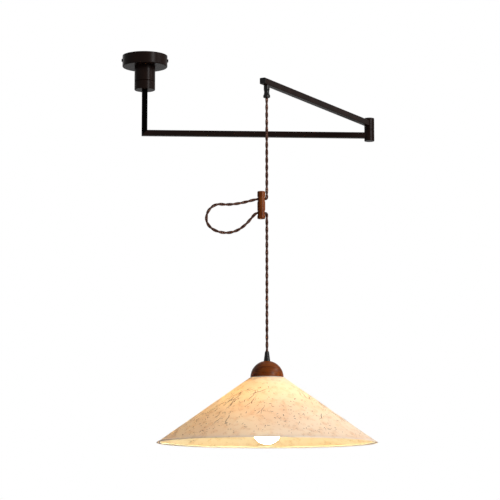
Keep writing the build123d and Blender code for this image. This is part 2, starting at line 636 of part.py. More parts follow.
# Elbow nipple with its nuts and washers, which turn with the lower arm
elbow_nipple = ring(
    elbow_level(ELBOW_NIPPLE_BOTTOM_Z),
    ELBOW_NIPPLE_DIAMETER,
    ELBOW_NIPPLE_BORE,
    ELBOW_NIPPLE_TOP_Z - ELBOW_NIPPLE_BOTTOM_Z,
)
elbow_nipple.part.label = "elbow_nipple"
export_step(elbow_nipple.part, "parts/elbow_nipple.step")

elbow_jam_nut = hex_nut(
    elbow_level(JAM_NUT_TOP_Z - ELBOW_NUT_THICKNESS),
    ELBOW_NUT_ACROSS_FLATS,
    ELBOW_HOLE,
    ELBOW_NUT_THICKNESS,
)
elbow_jam_nut.part.label = "elbow_jam_nut"
export_step(elbow_jam_nut.part, "parts/elbow_jam_nut.step")

elbow_friction_washer = ring(
    elbow_level(LOWER_KNUCKLE_TOP_Z), ELBOW_WASHER_DIAMETER, ELBOW_HOLE, ELBOW_SEAM
)
elbow_friction_washer.part.label = "elbow_friction_washer"
export_step(elbow_friction_washer.part, "parts/elbow_friction_washer.step")

elbow_spring_washer = ring(
    elbow_level(ELBOW_WASHER_Z), ELBOW_WASHER_DIAMETER, ELBOW_HOLE, ELBOW_WASHER_THICKNESS
)
elbow_spring_washer.part.label = "elbow_spring_washer"
export_step(elbow_spring_washer.part, "parts/elbow_spring_washer.step")

elbow_lock_nut = hex_nut(
    elbow_level(ELBOW_LOCK_NUT_Z), ELBOW_NUT_ACROSS_FLATS, ELBOW_HOLE, ELBOW_NUT_THICKNESS
)
elbow_lock_nut.part.label = "elbow_lock_nut"
export_step(elbow_lock_nut.part, "parts/elbow_lock_nut.step")


def knuckle_plug(bottom_z):
    """Flush disc that closes a knuckle's open end."""
    with BuildPart() as piece:
        with BuildSketch(elbow_level(bottom_z)):
            Circle(KNUCKLE_BORE_RADIUS - RUNNING_CLEARANCE)
        extrude(amount=ELBOW_PLUG_THICKNESS)
        chamfer(piece.edges(), ELBOW_PLUG_EDGE)
    return piece


elbow_bottom_plug = knuckle_plug(LOWER_KNUCKLE_BOTTOM_Z)
elbow_bottom_plug.part.label = "elbow_bottom_plug"
export_step(elbow_bottom_plug.part, "parts/elbow_bottom_plug.step")

elbow_top_plug = knuckle_plug(UPPER_KNUCKLE_TOP_Z - ELBOW_PLUG_THICKNESS)
elbow_top_plug.part.label = "elbow_top_plug"
export_step(elbow_top_plug.part, "parts/elbow_top_plug.step")

# Upper arm, with a hole in its underside for the gland
TUBE_END = UPPER_ARM_LENGTH - END_PLUG_THICKNESS
with BuildPart() as upper_arm_tube:
    with BuildSketch(upper_arm_plane(ARM_START)):
        add(tube_section.sketch)
    extrude(amount=TUBE_END - ARM_START)
    with BuildSketch(pendant_level(ARM_UNDERSIDE_Z)):
        Circle(GLAND_STEM_DIAMETER / 2 + RUNNING_CLEARANCE)
    extrude(amount=TUBE_WALL, mode=Mode.SUBTRACT)
upper_arm_tube.part.label = "upper_arm_tube"
export_step(upper_arm_tube.part, "parts/upper_arm_tube.step")

# End plug: a plate with a square spigot that is pushed into the tube
SPIGOT_SIZE = TUBE_INSIDE - 2 * SEAT_CLEARANCE
with BuildPart() as arm_end_plug:
    with BuildSketch(upper_arm_plane(TUBE_END)):
        RectangleRounded(TUBE_SIZE, TUBE_SIZE, TUBE_CORNER)
    extrude(amount=END_PLUG_THICKNESS)
    chamfer(
        arm_end_plug.faces().sort_by(Axis((0, 0, 0), tuple(ARM_DIRECTION)))[-1].edges(),
        END_PLUG_EDGE,
    )
    with BuildSketch(upper_arm_plane(TUBE_END)):
        RectangleRounded(SPIGOT_SIZE, SPIGOT_SIZE, TUBE_INNER_CORNER)
    extrude(amount=-END_PLUG_DEPTH)
arm_end_plug.part.label = "arm_end_plug"
export_step(arm_end_plug.part, "parts/arm_end_plug.step")

# Cord gland: a collar that draws in to a waist and flares to a rounded lip
GLAND_STEM_TOP_Z = ARM_UNDERSIDE_Z + TUBE_WALL + GLAND_NUT_THICKNESS + GLAND_STEM_END
COLLAR_END_Z = ARM_UNDERSIDE_Z - GLAND_COLLAR_LENGTH
LIP_TOP_Z = MOUTH_Z + GLAND_LIP_LENGTH
WAIST_Z = (COLLAR_END_Z + LIP_TOP_Z) / 2
STEM_BORE = CABLE_DIAMETER + 2 * PASSAGE_CLEARANCE
with BuildPart() as cord_gland:
    with BuildSketch(PENDANT_SECTION):
        with BuildLine():
            flare = ThreePointArc(
                (GLAND_COLLAR_DIAMETER / 2, COLLAR_END_Z),
                (GLAND_WAIST_DIAMETER / 2, WAIST_Z),
                (GLAND_LIP_DIAMETER / 2, LIP_TOP_Z),
            )
            Polyline(
                flare @ 1,
                (GLAND_LIP_DIAMETER / 2, MOUTH_Z),
                (0, MOUTH_Z),
                (0, GLAND_STEM_TOP_Z),
                (GLAND_STEM_DIAMETER / 2, GLAND_STEM_TOP_Z),
                (GLAND_STEM_DIAMETER / 2, ARM_UNDERSIDE_Z),
                (GLAND_COLLAR_DIAMETER / 2, ARM_UNDERSIDE_Z),
                flare @ 0,
            )
        make_face()
    revolve(axis=PENDANT_AXIS)
    fillet(cord_gland.edges().group_by(Axis.Z)[0], GLAND_LIP_RADIUS)
    with BuildSketch(pendant_level(MOUTH_Z)):
        Circle(GLAND_BORE / 2)
    extrude(amount=GLAND_LENGTH - GLAND_COLLAR_LENGTH, mode=Mode.SUBTRACT)
    with BuildSketch(pendant_level(COLLAR_END_Z)):
        Circle(STEM_BORE / 2)
    extrude(amount=GLAND_STEM_TOP_Z - COLLAR_END_Z, mode=Mode.SUBTRACT)
    with BuildSketch(pendant_level(MOUTH_Z)):
        Circle(GLAND_BUSH_DIAMETER / 2 + SEAT_CLEARANCE)
    extrude(amount=GLAND_BUSH_LENGTH, mode=Mode.SUBTRACT)
cord_gland.part.label = "cord_gland"
export_step(cord_gland.part, "parts/cord_gland.step")

# Rubber bush in the gland's mouth, which gives way as the cord swings
with BuildPart() as gland_bush:
    with BuildSketch(pendant_level(MOUTH_Z)):
        Circle(GLAND_BUSH_DIAMETER / 2)
        Circle(STEM_BORE / 2, mode=Mode.SUBTRACT)
    extrude(amount=GLAND_BUSH_LENGTH)
    chamfer(gland_bush.edges().group_by(Axis.Z)[0].sort_by(SortBy.LENGTH)[0], GLAND_BUSH_EDGE)
gland_bush.part.label = "gland_bush"
export_step(gland_bush.part, "parts/gland_bush.step")

# Square nut flat inside the arm, clear of its rounded corners, that the gland screws into
GLAND_NUT_SIZE = TUBE_INSIDE - 2 * TUBE_INNER_CORNER
with BuildPart() as gland_nut:
    nut_plane = Plane(
        origin=(GLAND_X, GLAND_Y, ARM_UNDERSIDE_Z + TUBE_WALL), x_dir=ARM_DIRECTION, z_dir=(0, 0, 1)
    )
    with BuildSketch(nut_plane):
        Rectangle(GLAND_NUT_SIZE, GLAND_NUT_SIZE)
        Circle(GLAND_STEM_DIAMETER / 2 + RUNNING_CLEARANCE, mode=Mode.SUBTRACT)
    extrude(amount=GLAND_NUT_THICKNESS)
gland_nut.part.label = "gland_nut"
export_step(gland_nut.part, "parts/gland_nut.step")

# Cable held inside the swivel, drop tube and lower arm, up to the elbow nipple's top
lower_arm_cable = soft_tube(
    "lower_arm_cable",
    [
        (0, 0, NIPPLE_TOP_Z),
        (0, 0, LOWER_ARM_Z),
        (LOWER_ARM_LENGTH, 0, LOWER_ARM_Z),
        (LOWER_ARM_LENGTH, 0, ELBOW_NIPPLE_TOP_Z),
    ],
    [CABLE_BEND, CABLE_BEND],
    CABLE_DIAMETER,
)
lower_arm_cable.part.label = "lower_arm_cable"
export_step(lower_arm_cable.part, "parts/lower_arm_cable.step")

# Cable held inside the upper arm, from the elbow along the tube's top to the gland's mouth
CABLE_RUN_Z = UPPER_ARM_Z + TUBE_INSIDE / 2 - CABLE_DIAMETER / 2 - PASSAGE_CLEARANCE
upper_arm_cable = soft_tube(
    "upper_arm_cable",
    [
        (LOWER_ARM_LENGTH, 0, ELBOW_NIPPLE_TOP_Z),
        (LOWER_ARM_LENGTH, 0, CABLE_RUN_Z),
        (GLAND_X, GLAND_Y, CABLE_RUN_Z),
        (GLAND_X, GLAND_Y, MOUTH_Z),
    ],
    [CABLE_BEND, CABLE_BEND],
    CABLE_DIAMETER,
)
upper_arm_cable.part.label = "upper_arm_cable"
export_step(upper_arm_cable.part, "parts/upper_arm_cable.step")

# Upper cord, pulled straight by the shade, which folds into the toggle's upper hole
TOGGLE_FAR_X = GLAND_X - TOGGLE_FAR_SIDE
cord_upper = soft_tube(
    "cord_upper",
    [
        (GLAND_X, GLAND_Y, MOUTH_Z),
        (GLAND_X, GLAND_Y, UPPER_HOLE_Z),
        (TOGGLE_FAR_X, GLAND_Y, UPPER_HOLE_Z),
    ],
    [CORD_FOLD_RADIUS],
    CORD_DIAMETER,
)
cord_upper.part.label = "cord_upper"
export_step(cord_upper.part, "parts/cord_upper.step")

# Toggle: a turned wooden peg with two cross holes, their mouths opened out
MOUTH_START = TOGGLE_DIAMETER / 2 - TOGGLE_MOUTH_DEPTH
MOUTH_END = TOGGLE_DIAMETER / 2 + TOGGLE_MOUTH_DEPTH
MOUTH_RADIUS = TOGGLE_HOLE_DIAMETER / 2 + MOUTH_END - MOUTH_START
with BuildPart() as cord_toggle:
    with BuildSketch(Plane(origin=(GLAND_X - TOGGLE_OFFSET, GLAND_Y, TOGGLE_TOP_Z))):
        Circle(TOGGLE_DIAMETER / 2)
    extrude(amount=-TOGGLE_LENGTH)
    fillet(cord_toggle.edges().filter_by(GeomType.CIRCLE), TOGGLE_EDGE_RADIUS)
    for hole_z in (UPPER_HOLE_Z, LOWER_HOLE_Z):
        with BuildSketch(PENDANT_SECTION):
            with Locations((-TOGGLE_OFFSET, hole_z)):
                Polygon(
                    (-MOUTH_END, 0),
                    (-MOUTH_END, MOUTH_RADIUS),
                    (-MOUTH_START, TOGGLE_HOLE_DIAMETER / 2),
                    (MOUTH_START, TOGGLE_HOLE_DIAMETER / 2),
                    (MOUTH_END, MOUTH_RADIUS),
                    (MOUTH_END, 0),
                    align=None,
                )
        revolve(axis=Axis((GLAND_X, GLAND_Y, hole_z), (1, 0, 0)), mode=Mode.SUBTRACT)
cord_toggle.part.label = "cord_toggle"
export_step(cord_toggle.part, "parts/cord_toggle.step")

# Loop of spare cord, from one hole of the toggle round to the other.
# Its points lie as in the photograph, across and down from the cord's axis at the upper hole.
LOOP_POINTS = [
    (-25.5, 0.0),
    (-36.0, -2.6),
    (-55.0, -9.0),
    (-80.0, -12.0),
    (-102.0, -10.0),
    (-118.0, -22.5),
    (-123.0, -41.5),
    (-116.5, -56.5),
    (-101.0, -66.5),
    (-79.0, -70.0),
    (-58.0, -64.0),
    (-42.0, -52.5),
    (-32.5, -39.5),
    (-25.3, TOGGLE_UPPER_HOLE - TOGGLE_LOWER_HOLE),
]
loop_route = [(TOGGLE_FAR_X, GLAND_Y, UPPER_HOLE_Z)]
loop_route += [(GLAND_X + x, GLAND_Y, UPPER_HOLE_Z + z) for x, z in LOOP_POINTS]
loop_route += [(TOGGLE_FAR_X, GLAND_Y, LOWER_HOLE_Z)]
cord_loop = soft_tube("cord_loop", loop_route, largest_radii(loop_route), CORD_DIAMETER)
cord_loop.part.label = "cord_loop"
export_step(cord_loop.part, "parts/cord_loop.step")

# Lower cord, from the toggle's lower hole down into the lamp holder
CORD_END_Z = HOLDER_INSIDE_Z - CORD_DIAMETER / 2
cord_lower = soft_tube(
    "cord_lower",
    [
        (TOGGLE_FAR_X, GLAND_Y, LOWER_HOLE_Z),
        (GLAND_X, GLAND_Y, LOWER_HOLE_Z),
        (GLAND_X, GLAND_Y, CORD_END_Z),
    ],
    [CORD_FOLD_RADIUS],
    CORD_DIAMETER,
)
cord_lower.part.label = "cord_lower"
export_step(cord_lower.part, "parts/cord_lower.step")

# Strain relief: a slim cone over the cord, screwed on the holder's nipple
CORD_PASSAGE = CORD_DIAMETER + 2 * PASSAGE_CLEARANCE
HOLDER_NIPPLE_TOP_Z = CAP_TOP_Z + RELIEF_SOCKET_DEPTH
with BuildPart() as strain_relief:
    with BuildSketch(PENDANT_SECTION):
        with BuildLine():
            Polyline(
                (CORD_PASSAGE / 2, RELIEF_TOP_Z),
                (RELIEF_TOP_DIAMETER / 2, RELIEF_TOP_Z),
                (RELIEF_BOTTOM_DIAMETER / 2, CAP_TOP_Z),
                (NUT_BORE / 2, CAP_TOP_Z),
                (NUT_BORE / 2, HOLDER_NIPPLE_TOP_Z),
                (CORD_PASSAGE / 2, HOLDER_NIPPLE_TOP_Z),
                close=True,
            )
        make_face()
    revolve(axis=PENDANT_AXIS)
strain_relief.part.label = "strain_relief"
export_step(strain_relief.part, "parts/strain_relief.step")

# Wooden cap: a turned dome with a flat seat on top, hollow over the lamp holder
with BuildPart() as shade_cap:
    with BuildSketch(PENDANT_SECTION):
        with BuildLine():
            seat = (sqrt(CAP_RADIUS**2 - CAP_HEIGHT**2), CAP_TOP_Z)
            foot = (CAP_RADIUS, CAP_BOTTOM_Z)
            swell = (CAP_RADIUS * cos(radians(45)), CAP_BOTTOM_Z + CAP_RADIUS * sin(radians(45)))
            ThreePointArc(seat, swell, foot)
            Polyline(foot, (0, CAP_BOTTOM_Z), (0, CAP_TOP_Z), seat)
        make_face()
    revolve(axis=PENDANT_AXIS)
    fillet(shade_cap.edges().group_by(Axis.Z)[0], CAP_EDGE_RADIUS)
    with BuildSketch(pendant_level(CAP_BOTTOM_Z)):
        Circle(CAP_HOLLOW_DIAMETER / 2)
    extrude(amount=CAP_HOLLOW_DEPTH, mode=Mode.SUBTRACT)
    with BuildSketch(pendant_level(HOLDER_TOP_Z)):
        Circle(NUT_BORE / 2)
    extrude(amount=CAP_HEIGHT, mode=Mode.SUBTRACT)
shade_cap.part.label = "shade_cap"
export_step(shade_cap.part, "parts/shade_cap.step")

# Holder nipple, which joins the lamp holder, the cap and the strain relief
holder_nipple = ring(
    pendant_level(HOLDER_INSIDE_Z), NIPPLE_DIAMETER, NIPPLE_BORE, HOLDER_NIPPLE_TOP_Z - HOLDER_INSIDE_Z
)
holder_nipple.part.label = "holder_nipple"
export_step(holder_nipple.part, "parts/holder_nipple.step")

# Holder cap: the cover over the lamp holder's wiring
with BuildPart() as holder_cap:
    with BuildSketch(pendant_level(HOLDER_CAP_BOTTOM_Z)):
        Circle(HOLDER_CAP_DIAMETER / 2)
    extrude(amount=HOLDER_CAP_HEIGHT)
    chamfer(holder_cap.edges().group_by(Axis.Z)[-1], HOLDER_CAP_TOP)
    with BuildSketch(pendant_level(HOLDER_CAP_BOTTOM_Z)):
        Circle(HOLDER_CAP_DIAMETER / 2 - HOLDER_CAP_WALL)
    extrude(amount=HOLDER_CAP_HEIGHT - HOLDER_CAP_TOP, mode=Mode.SUBTRACT)
    with BuildSketch(pendant_level(HOLDER_INSIDE_Z)):
        Circle(NUT_BORE / 2)
    extrude(amount=HOLDER_CAP_TOP, mode=Mode.SUBTRACT)
holder_cap.part.label = "holder_cap"
export_step(holder_cap.part, "parts/holder_cap.step")

# Holder sleeve: a threaded neck in the cap, a flange on the plate, and the outer sleeve
HOLDER_NECK_DIAMETER = HOLDER_CAP_DIAMETER - 2 * HOLDER_CAP_WALL - 2 * RUNNING_CLEARANCE
with BuildPart() as holder_sleeve:
    with BuildSketch(pendant_level(SLEEVE_BOTTOM_Z)):
        Circle(HOLDER_SLEEVE_DIAMETER / 2)
    extrude(amount=HOLDER_SLEEVE_LENGTH)
    chamfer(holder_sleeve.edges().group_by(Axis.Z)[0], HOLDER_EDGE)
    with BuildSketch(pendant_level(CAP_BOTTOM_Z)):
        Circle(HOLDER_FLANGE_DIAMETER / 2)
    extrude(amount=HOLDER_CAP_BOTTOM_Z - CAP_BOTTOM_Z)
    with BuildSketch(pendant_level(HOLDER_CAP_BOTTOM_Z)):
        Circle(HOLDER_NECK_DIAMETER / 2)
    extrude(amount=HOLDER_NECK_LENGTH)
    with BuildSketch(pendant_level(SLEEVE_BOTTOM_Z)):
        Circle(HOLDER_BORE / 2)
    extrude(amount=HOLDER_CAP_BOTTOM_Z + HOLDER_NECK_LENGTH - SLEEVE_BOTTOM_Z, mode=Mode.SUBTRACT)
holder_sleeve.part.label = "holder_sleeve"
export_step(holder_sleeve.part, "parts/holder_sleeve.step")

# Holder core: the porcelain insert that carries the contacts
with BuildPart() as holder_core:
    with BuildSketch(pendant_level(CORE_BOTTOM_Z)):
        Circle(HOLDER_BORE / 2 - SEAT_CLEARANCE)
        with GridLocations(HOLDER_CORE_HOLE_SPACING, 0, 2, 1):
            Circle(HOLDER_CORE_HOLE_DIAMETER / 2, mode=Mode.SUBTRACT)
    extrude(amount=HOLDER_CORE_LENGTH)
    chamfer(holder_core.edges().group_by(Axis.Z)[-1].sort_by(SortBy.LENGTH)[-1], HOLDER_EDGE)
holder_core.part.label = "holder_core"
export_step(holder_core.part, "parts/holder_core.step")

# Screw shell: the holder's threaded contact, drawn as a plain sleeve
holder_shell = ring(
    pendant_level(CORE_BOTTOM_Z - SHELL_LENGTH), SHELL_BORE + 2 * SHELL_WALL, SHELL_BORE, SHELL_LENGTH
)
holder_shell.part.label = "holder_shell"
export_step(holder_shell.part, "parts/holder_shell.step")

# Centre contact: a springy brass strip under the core
with BuildPart() as holder_contact:
    with BuildSketch(pendant_level(CONTACT_BOTTOM_Z)):
        SlotOverall(CONTACT_LENGTH, CONTACT_WIDTH)
    extrude(amount=CONTACT_THICKNESS)
holder_contact.part.label = "holder_contact"
export_step(holder_contact.part, "parts/holder_contact.step")

# Shade ring: screwed up the sleeve to clamp the plate, with finger notches round it
with BuildPart() as shade_ring:
    with BuildSketch(pendant_level(PLATE_BOTTOM_Z)):
        Circle(SHADE_RING_DIAMETER / 2)
        Circle(HOLDER_SLEEVE_DIAMETER / 2 + RUNNING_CLEARANCE, mode=Mode.SUBTRACT)
        with PolarLocations(SHADE_RING_DIAMETER / 2, SHADE_RING_NOTCHES):
            Circle(SHADE_RING_NOTCH_RADIUS, mode=Mode.SUBTRACT)
    extrude(amount=-SHADE_RING_HEIGHT)
shade_ring.part.label = "shade_ring"
export_step(shade_ring.part, "parts/shade_ring.step")

# Paper shade: a straight cone with a doubled hem at its rim
SHADE_SPREAD = (SHADE_RIM_DIAMETER - SHADE_TOP_DIAMETER) / 2
SHADE_SLANT = sqrt(SHADE_SPREAD**2 + SHADE_HEIGHT**2)
LEVEL_PER_NORMAL = SHADE_SLANT / SHADE_HEIGHT
SPREAD_PER_DROP = SHADE_SPREAD / SHADE_HEIGHT
PAPER_LEVEL = PAPER_THICKNESS * LEVEL_PER_NORMAL
HEM_LEVEL = HEM_THICKNESS * LEVEL_PER_NORMAL
RIM_RADIUS = SHADE_RIM_DIAMETER / 2
HEM_TOP_RADIUS = RIM_RADIUS - HEM_HEIGHT * SPREAD_PER_DROP
with BuildPart() as shade_paper:
    with BuildSketch(PENDANT_SECTION):
        with BuildLine():
            Polyline(
                (SHADE_TOP_DIAMETER / 2 - PAPER_LEVEL, SHADE_TOP_Z),
                (SHADE_TOP_DIAMETER / 2, SHADE_TOP_Z),
                (HEM_TOP_RADIUS - HEM_LEVEL, RIM_Z + HEM_HEIGHT),
                (HEM_TOP_RADIUS, RIM_Z + HEM_HEIGHT),
                (RIM_RADIUS, RIM_Z),
                (RIM_RADIUS - HEM_LEVEL - PAPER_LEVEL, RIM_Z),
                close=True,
            )
        make_face()
    revolve(axis=PENDANT_AXIS)
shade_paper.part.label = "shade_paper"
export_step(shade_paper.part, "parts/shade_paper.step")

# Fitter plate: the disc glued in the paper's top edge and hung on the shade ring
PLATE_RADIUS = SHADE_TOP_DIAMETER / 2 - PAPER_LEVEL - SEAT_CLEARANCE
PLATE_HOLE_RADIUS = HOLDER_SLEEVE_DIAMETER / 2 + PASSAGE_CLEARANCE
VENT_RADIUS = (PLATE_RADIUS + SHADE_RING_DIAMETER / 2) / 2
with BuildPart() as shade_plate:
    with BuildSketch(pendant_level(PLATE_BOTTOM_Z)):
        Circle(PLATE_RADIUS)
        Circle(PLATE_HOLE_RADIUS, mode=Mode.SUBTRACT)
        with PolarLocations(VENT_RADIUS, PLATE_VENTS):
            Circle(PLATE_VENT_DIAMETER / 2, mode=Mode.SUBTRACT)
    extrude(amount=PLATE_THICKNESS)
shade_plate.part.label = "shade_plate"
export_step(shade_plate.part, "parts/shade_plate.step")

# Rim wire: a hoop inside the hem that keeps the paper round
WIRE_Z = RIM_Z + RIM_WIRE_LIFT + RIM_WIRE_DIAMETER / 2
WIRE_PAPER_RADIUS = RIM_RADIUS - HEM_LEVEL - PAPER_LEVEL - (WIRE_Z - RIM_Z) * SPREAD_PER_DROP
WIRE_RADIUS = WIRE_PAPER_RADIUS - (RIM_WIRE_DIAMETER / 2 + SEAT_CLEARANCE) * LEVEL_PER_NORMAL
with BuildPart() as shade_rim_wire:
    with BuildSketch(PENDANT_SECTION):
        with Locations((WIRE_RADIUS, WIRE_Z)):
            Circle(RIM_WIRE_DIAMETER / 2)
    revolve(axis=PENDANT_AXIS)
shade_rim_wire.part.label = "shade_rim_wire"
export_step(shade_rim_wire.part, "parts/shade_rim_wire.step")

# Bulb globe: blown glass, round below and drawn in to a neck
GLOBE_Z = BULB_BOTTOM_Z + BULB_DIAMETER / 2


def pear_section(globe_radius, neck_radius):
    """Half section of a pear shape about the bulb's axis, from its bottom to its neck."""
    bowl_angle = radians(BULB_BOWL_ANGLE)
    shoulder_angle = radians(BULB_SHOULDER_ANGLE)
    with BuildSketch() as section:
        with BuildLine():
            bowl = ThreePointArc(
                (0, GLOBE_Z - globe_radius),
                (globe_radius * cos(bowl_angle), GLOBE_Z + globe_radius * sin(bowl_angle)),
                (globe_radius * cos(shoulder_angle), GLOBE_Z + globe_radius * sin(shoulder_angle)),
            )
            shoulder = Spline(
                bowl @ 1,
                (neck_radius, BULB_NECK_Z),
                tangents=(bowl % 1, (0, 1)),
            )
            Polyline(shoulder @ 1, (0, BULB_NECK_Z), (0, GLOBE_Z - globe_radius))
        make_face()
    return section.sketch


bulb_outside = pear_section(BULB_DIAMETER / 2, BULB_NECK_DIAMETER / 2)
bulb_inside = pear_section(BULB_DIAMETER / 2 - BULB_WALL, BULB_NECK_DIAMETER / 2 - BULB_WALL)
with BuildPart() as bulb_globe:
    with BuildSketch(PENDANT_SECTION):
        add(bulb_outside)
        add(bulb_inside, mode=Mode.SUBTRACT)
    revolve(axis=PENDANT_AXIS)
bulb_globe.part.label = "bulb_globe"
export_step(bulb_globe.part, "parts/bulb_globe.step")

# Bulb base: the screw shell, which narrows to the contact at its tip
with BuildPart() as bulb_base:
    with BuildSketch(PENDANT_SECTION):
        with BuildLine():
            Polyline(
                (0, BULB_NECK_Z),
                (BULB_BASE_DIAMETER / 2, BULB_NECK_Z),
                (BULB_BASE_DIAMETER / 2, BULB_BASE_TOP_Z),
                (BULB_CONTACT_DIAMETER / 2, BULB_TIP_Z - BULB_CONTACT_HEIGHT),
                (BULB_CONTACT_DIAMETER / 2, BULB_TIP_Z),
                (0, BULB_TIP_Z),
                close=True,
            )
        make_face()
    revolve(axis=PENDANT_AXIS)
bulb_base.part.label = "bulb_base"
export_step(bulb_base.part, "parts/bulb_base.step")
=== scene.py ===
"""Dresses a ceiling swing-arm pendant light: finishes, twisted cord, paper shade, studio and camera."""

import logging
import math
import random
from collections.abc import Callable
from dataclasses import dataclass, field
from enum import Enum
from typing import Any

import bpy
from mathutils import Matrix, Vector, noise


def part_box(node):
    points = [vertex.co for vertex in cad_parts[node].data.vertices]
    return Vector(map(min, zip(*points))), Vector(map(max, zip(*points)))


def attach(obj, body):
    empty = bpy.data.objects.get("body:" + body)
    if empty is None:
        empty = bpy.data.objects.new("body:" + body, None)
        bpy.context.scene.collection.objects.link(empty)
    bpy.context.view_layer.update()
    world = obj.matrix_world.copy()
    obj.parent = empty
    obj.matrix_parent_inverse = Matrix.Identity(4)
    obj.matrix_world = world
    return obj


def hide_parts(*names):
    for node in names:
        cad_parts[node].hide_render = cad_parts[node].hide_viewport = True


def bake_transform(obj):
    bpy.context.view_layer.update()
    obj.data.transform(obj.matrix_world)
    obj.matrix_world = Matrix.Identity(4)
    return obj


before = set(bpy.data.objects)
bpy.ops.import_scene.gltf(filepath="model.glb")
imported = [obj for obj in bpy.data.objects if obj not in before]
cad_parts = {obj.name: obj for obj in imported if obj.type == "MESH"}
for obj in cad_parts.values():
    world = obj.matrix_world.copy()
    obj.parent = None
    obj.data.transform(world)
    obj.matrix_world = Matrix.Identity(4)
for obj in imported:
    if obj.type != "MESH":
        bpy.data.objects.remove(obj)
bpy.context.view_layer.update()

LOG = logging.getLogger("pendant_light")
MM = 0.001
WHITE = (1.0, 1.0, 1.0, 1.0)
# The Mix node's sockets, by number because names repeat: its share, its two colours and what comes out
SHARE, FROM, INTO, MIXED = 0, 6, 7, 2
# One full wave of the wave texture is this long at a scale of 1
WAVE_LENGTH = math.tau / 20


class Body(Enum):
    """The bodies of the light that the scene's own pieces move with."""

    CEILING = "ceiling"
    CORD_GRIP = "cord_grip"
    HANGING_CORD = "hanging_cord"
    CORD_FEED = "cord_feed"
    PENDANT = "pendant"


class Grain(Enum):
    """The way that a wooden piece's grain runs: 0 for the axis it runs along, 1 for those across it."""

    UPRIGHT = (1.0, 1.0, 0.0)
    ACROSS = (0.0, 1.0, 1.0)


def linear(code: str) -> tuple[float, float, float, float]:
    """Turn an sRGB hex colour into a linear colour.

    Args:
        code: The colour as "#rrggbb".

    Returns:
        Linear red, green, blue and an alpha of 1.
    """
    parts = [int(code[i : i + 2], 16) / 255 for i in (1, 3, 5)]
    red, green, blue = (p / 12.92 if p <= 0.04045 else ((p + 0.055) / 1.055) ** 2.4 for p in parts)
    return red, green, blue, 1.0


def add_node(
    tree: bpy.types.NodeTree,
    kind: str,
    inputs: dict[str | int, Any] | None = None,
    settings: dict[str, Any] | None = None,
) -> bpy.types.Node:
    """Add a node with its settings, and link or set its inputs.

    Args:
        tree: The material's or world's node tree.
        kind: The node's type without "ShaderNode".
        inputs: For each input, the socket that feeds it or a plain value.
        settings: The node's own properties.

    Returns:
        The new node.
    """
    node = tree.nodes.new("ShaderNode" + kind)
    for key, value in (settings or {}).items():
        setattr(node, key, value)
    for key, value in (inputs or {}).items():
        if isinstance(value, bpy.types.NodeSocket):
            tree.links.new(value, node.inputs[key])
        else:
            node.inputs[key].default_value = value
    return node


def shown_ray(tree: bpy.types.NodeTree) -> bpy.types.NodeSocket:
    """Tell apart the rays that show the room from those that light the object.

    Args:
        tree: The material's or world's node tree.

    Returns:
        A socket that is 1 for the camera's rays and for rays in gloss and glass, and else 0.
    """
    path = add_node(tree, "LightPath").outputs
    seen = add_node(
        tree, "Math", {0: path["Is Camera Ray"], 1: path["Is Glossy Ray"]}, {"operation": "MAXIMUM"}
    ).outputs[0]
    return add_node(
        tree, "Math", {0: seen, 1: path["Is Transmission Ray"]}, {"operation": "MAXIMUM"}
    ).outputs[0]


@dataclass(frozen=True)
class Finish:
    """What every finish has: a name, and a material that is made once."""

    name: str

    def material(self) -> bpy.types.Material:
        """Find this finish's material, or make it on first use.

        Returns:
            The material.
        """
        material = bpy.data.materials.get(self.name)
        if material is None:
            material = bpy.data.materials.new(self.name)
            material.use_nodes = True
            tree = material.node_tree
            tree.nodes.clear()
            add_node(tree, "OutputMaterial", {"Surface": self.surface(tree)})
        return material

    def surface(self, tree: bpy.types.NodeTree) -> bpy.types.NodeSocket:
        """Return the shader's socket; each finish makes its own."""
        raise NotImplementedError


@dataclass(frozen=True)
class PowderCoat(Finish):
    """Powder paint baked on steel: a satin skin with a faint orange-peel ripple and dull patches."""

    colour: str
    dust: str
    roughness: float = 0.26
    gloss: float = 0.007
    # The resin skin shines where a lamp meets it and stays dark towards the edges
    skin: float = 0.1
    skin_roughness: float = 0.3
    # Real orange peel is about 0.8 mm wide; it is drawn wider so that it shows
    peel_mm: float = 1.6
    peel_depth_mm: float = 0.015
    patch_mm: float = 26.0

    def surface(self, tree: bpy.types.NodeTree) -> bpy.types.NodeSocket:
        """Mix two near tones in soft patches over a rippled satin coat.

        Args:
            tree: The material's node tree.

        Returns:
            The coat's shader socket.
        """
        place = add_node(tree, "TexCoord").outputs["Object"]
        patch = add_node(
            tree, "TexNoise", {"Vector": place, "Scale": 1 / (self.patch_mm * MM), "Detail": 4.0}
        ).outputs["Fac"]
        peel = add_node(
            tree, "TexNoise", {"Vector": place, "Scale": 1 / (self.peel_mm * MM), "Detail": 1.0}
        ).outputs["Fac"]
        dusty = add_node(
            tree, "MapRange", {"Value": patch, "From Min": 0.42, "From Max": 0.72}
        ).outputs["Result"]
        tone = add_node(
            tree,
            "Mix",
            {SHARE: dusty, FROM: linear(self.colour), INTO: linear(self.dust)},
            {"data_type": "RGBA"},
        ).outputs[MIXED]
        rough = add_node(
            tree,
            "MapRange",
            {"Value": patch, "To Min": self.roughness - 0.08, "To Max": self.roughness + 0.1},
        ).outputs["Result"]
        ripple = add_node(
            tree, "Bump", {"Height": peel, "Strength": 0.6, "Distance": self.peel_depth_mm * MM}
        ).outputs["Normal"]
        return add_node(
            tree,
            "BsdfPrincipled",
            {
                "Base Color": tone,
                "Roughness": rough,
                "Normal": ripple,
                "IOR": 1.5,
                "Specular IOR Level": self.gloss,
                "Coat Weight": self.skin,
                "Coat Roughness": self.skin_roughness,
            },
        ).outputs["BSDF"]


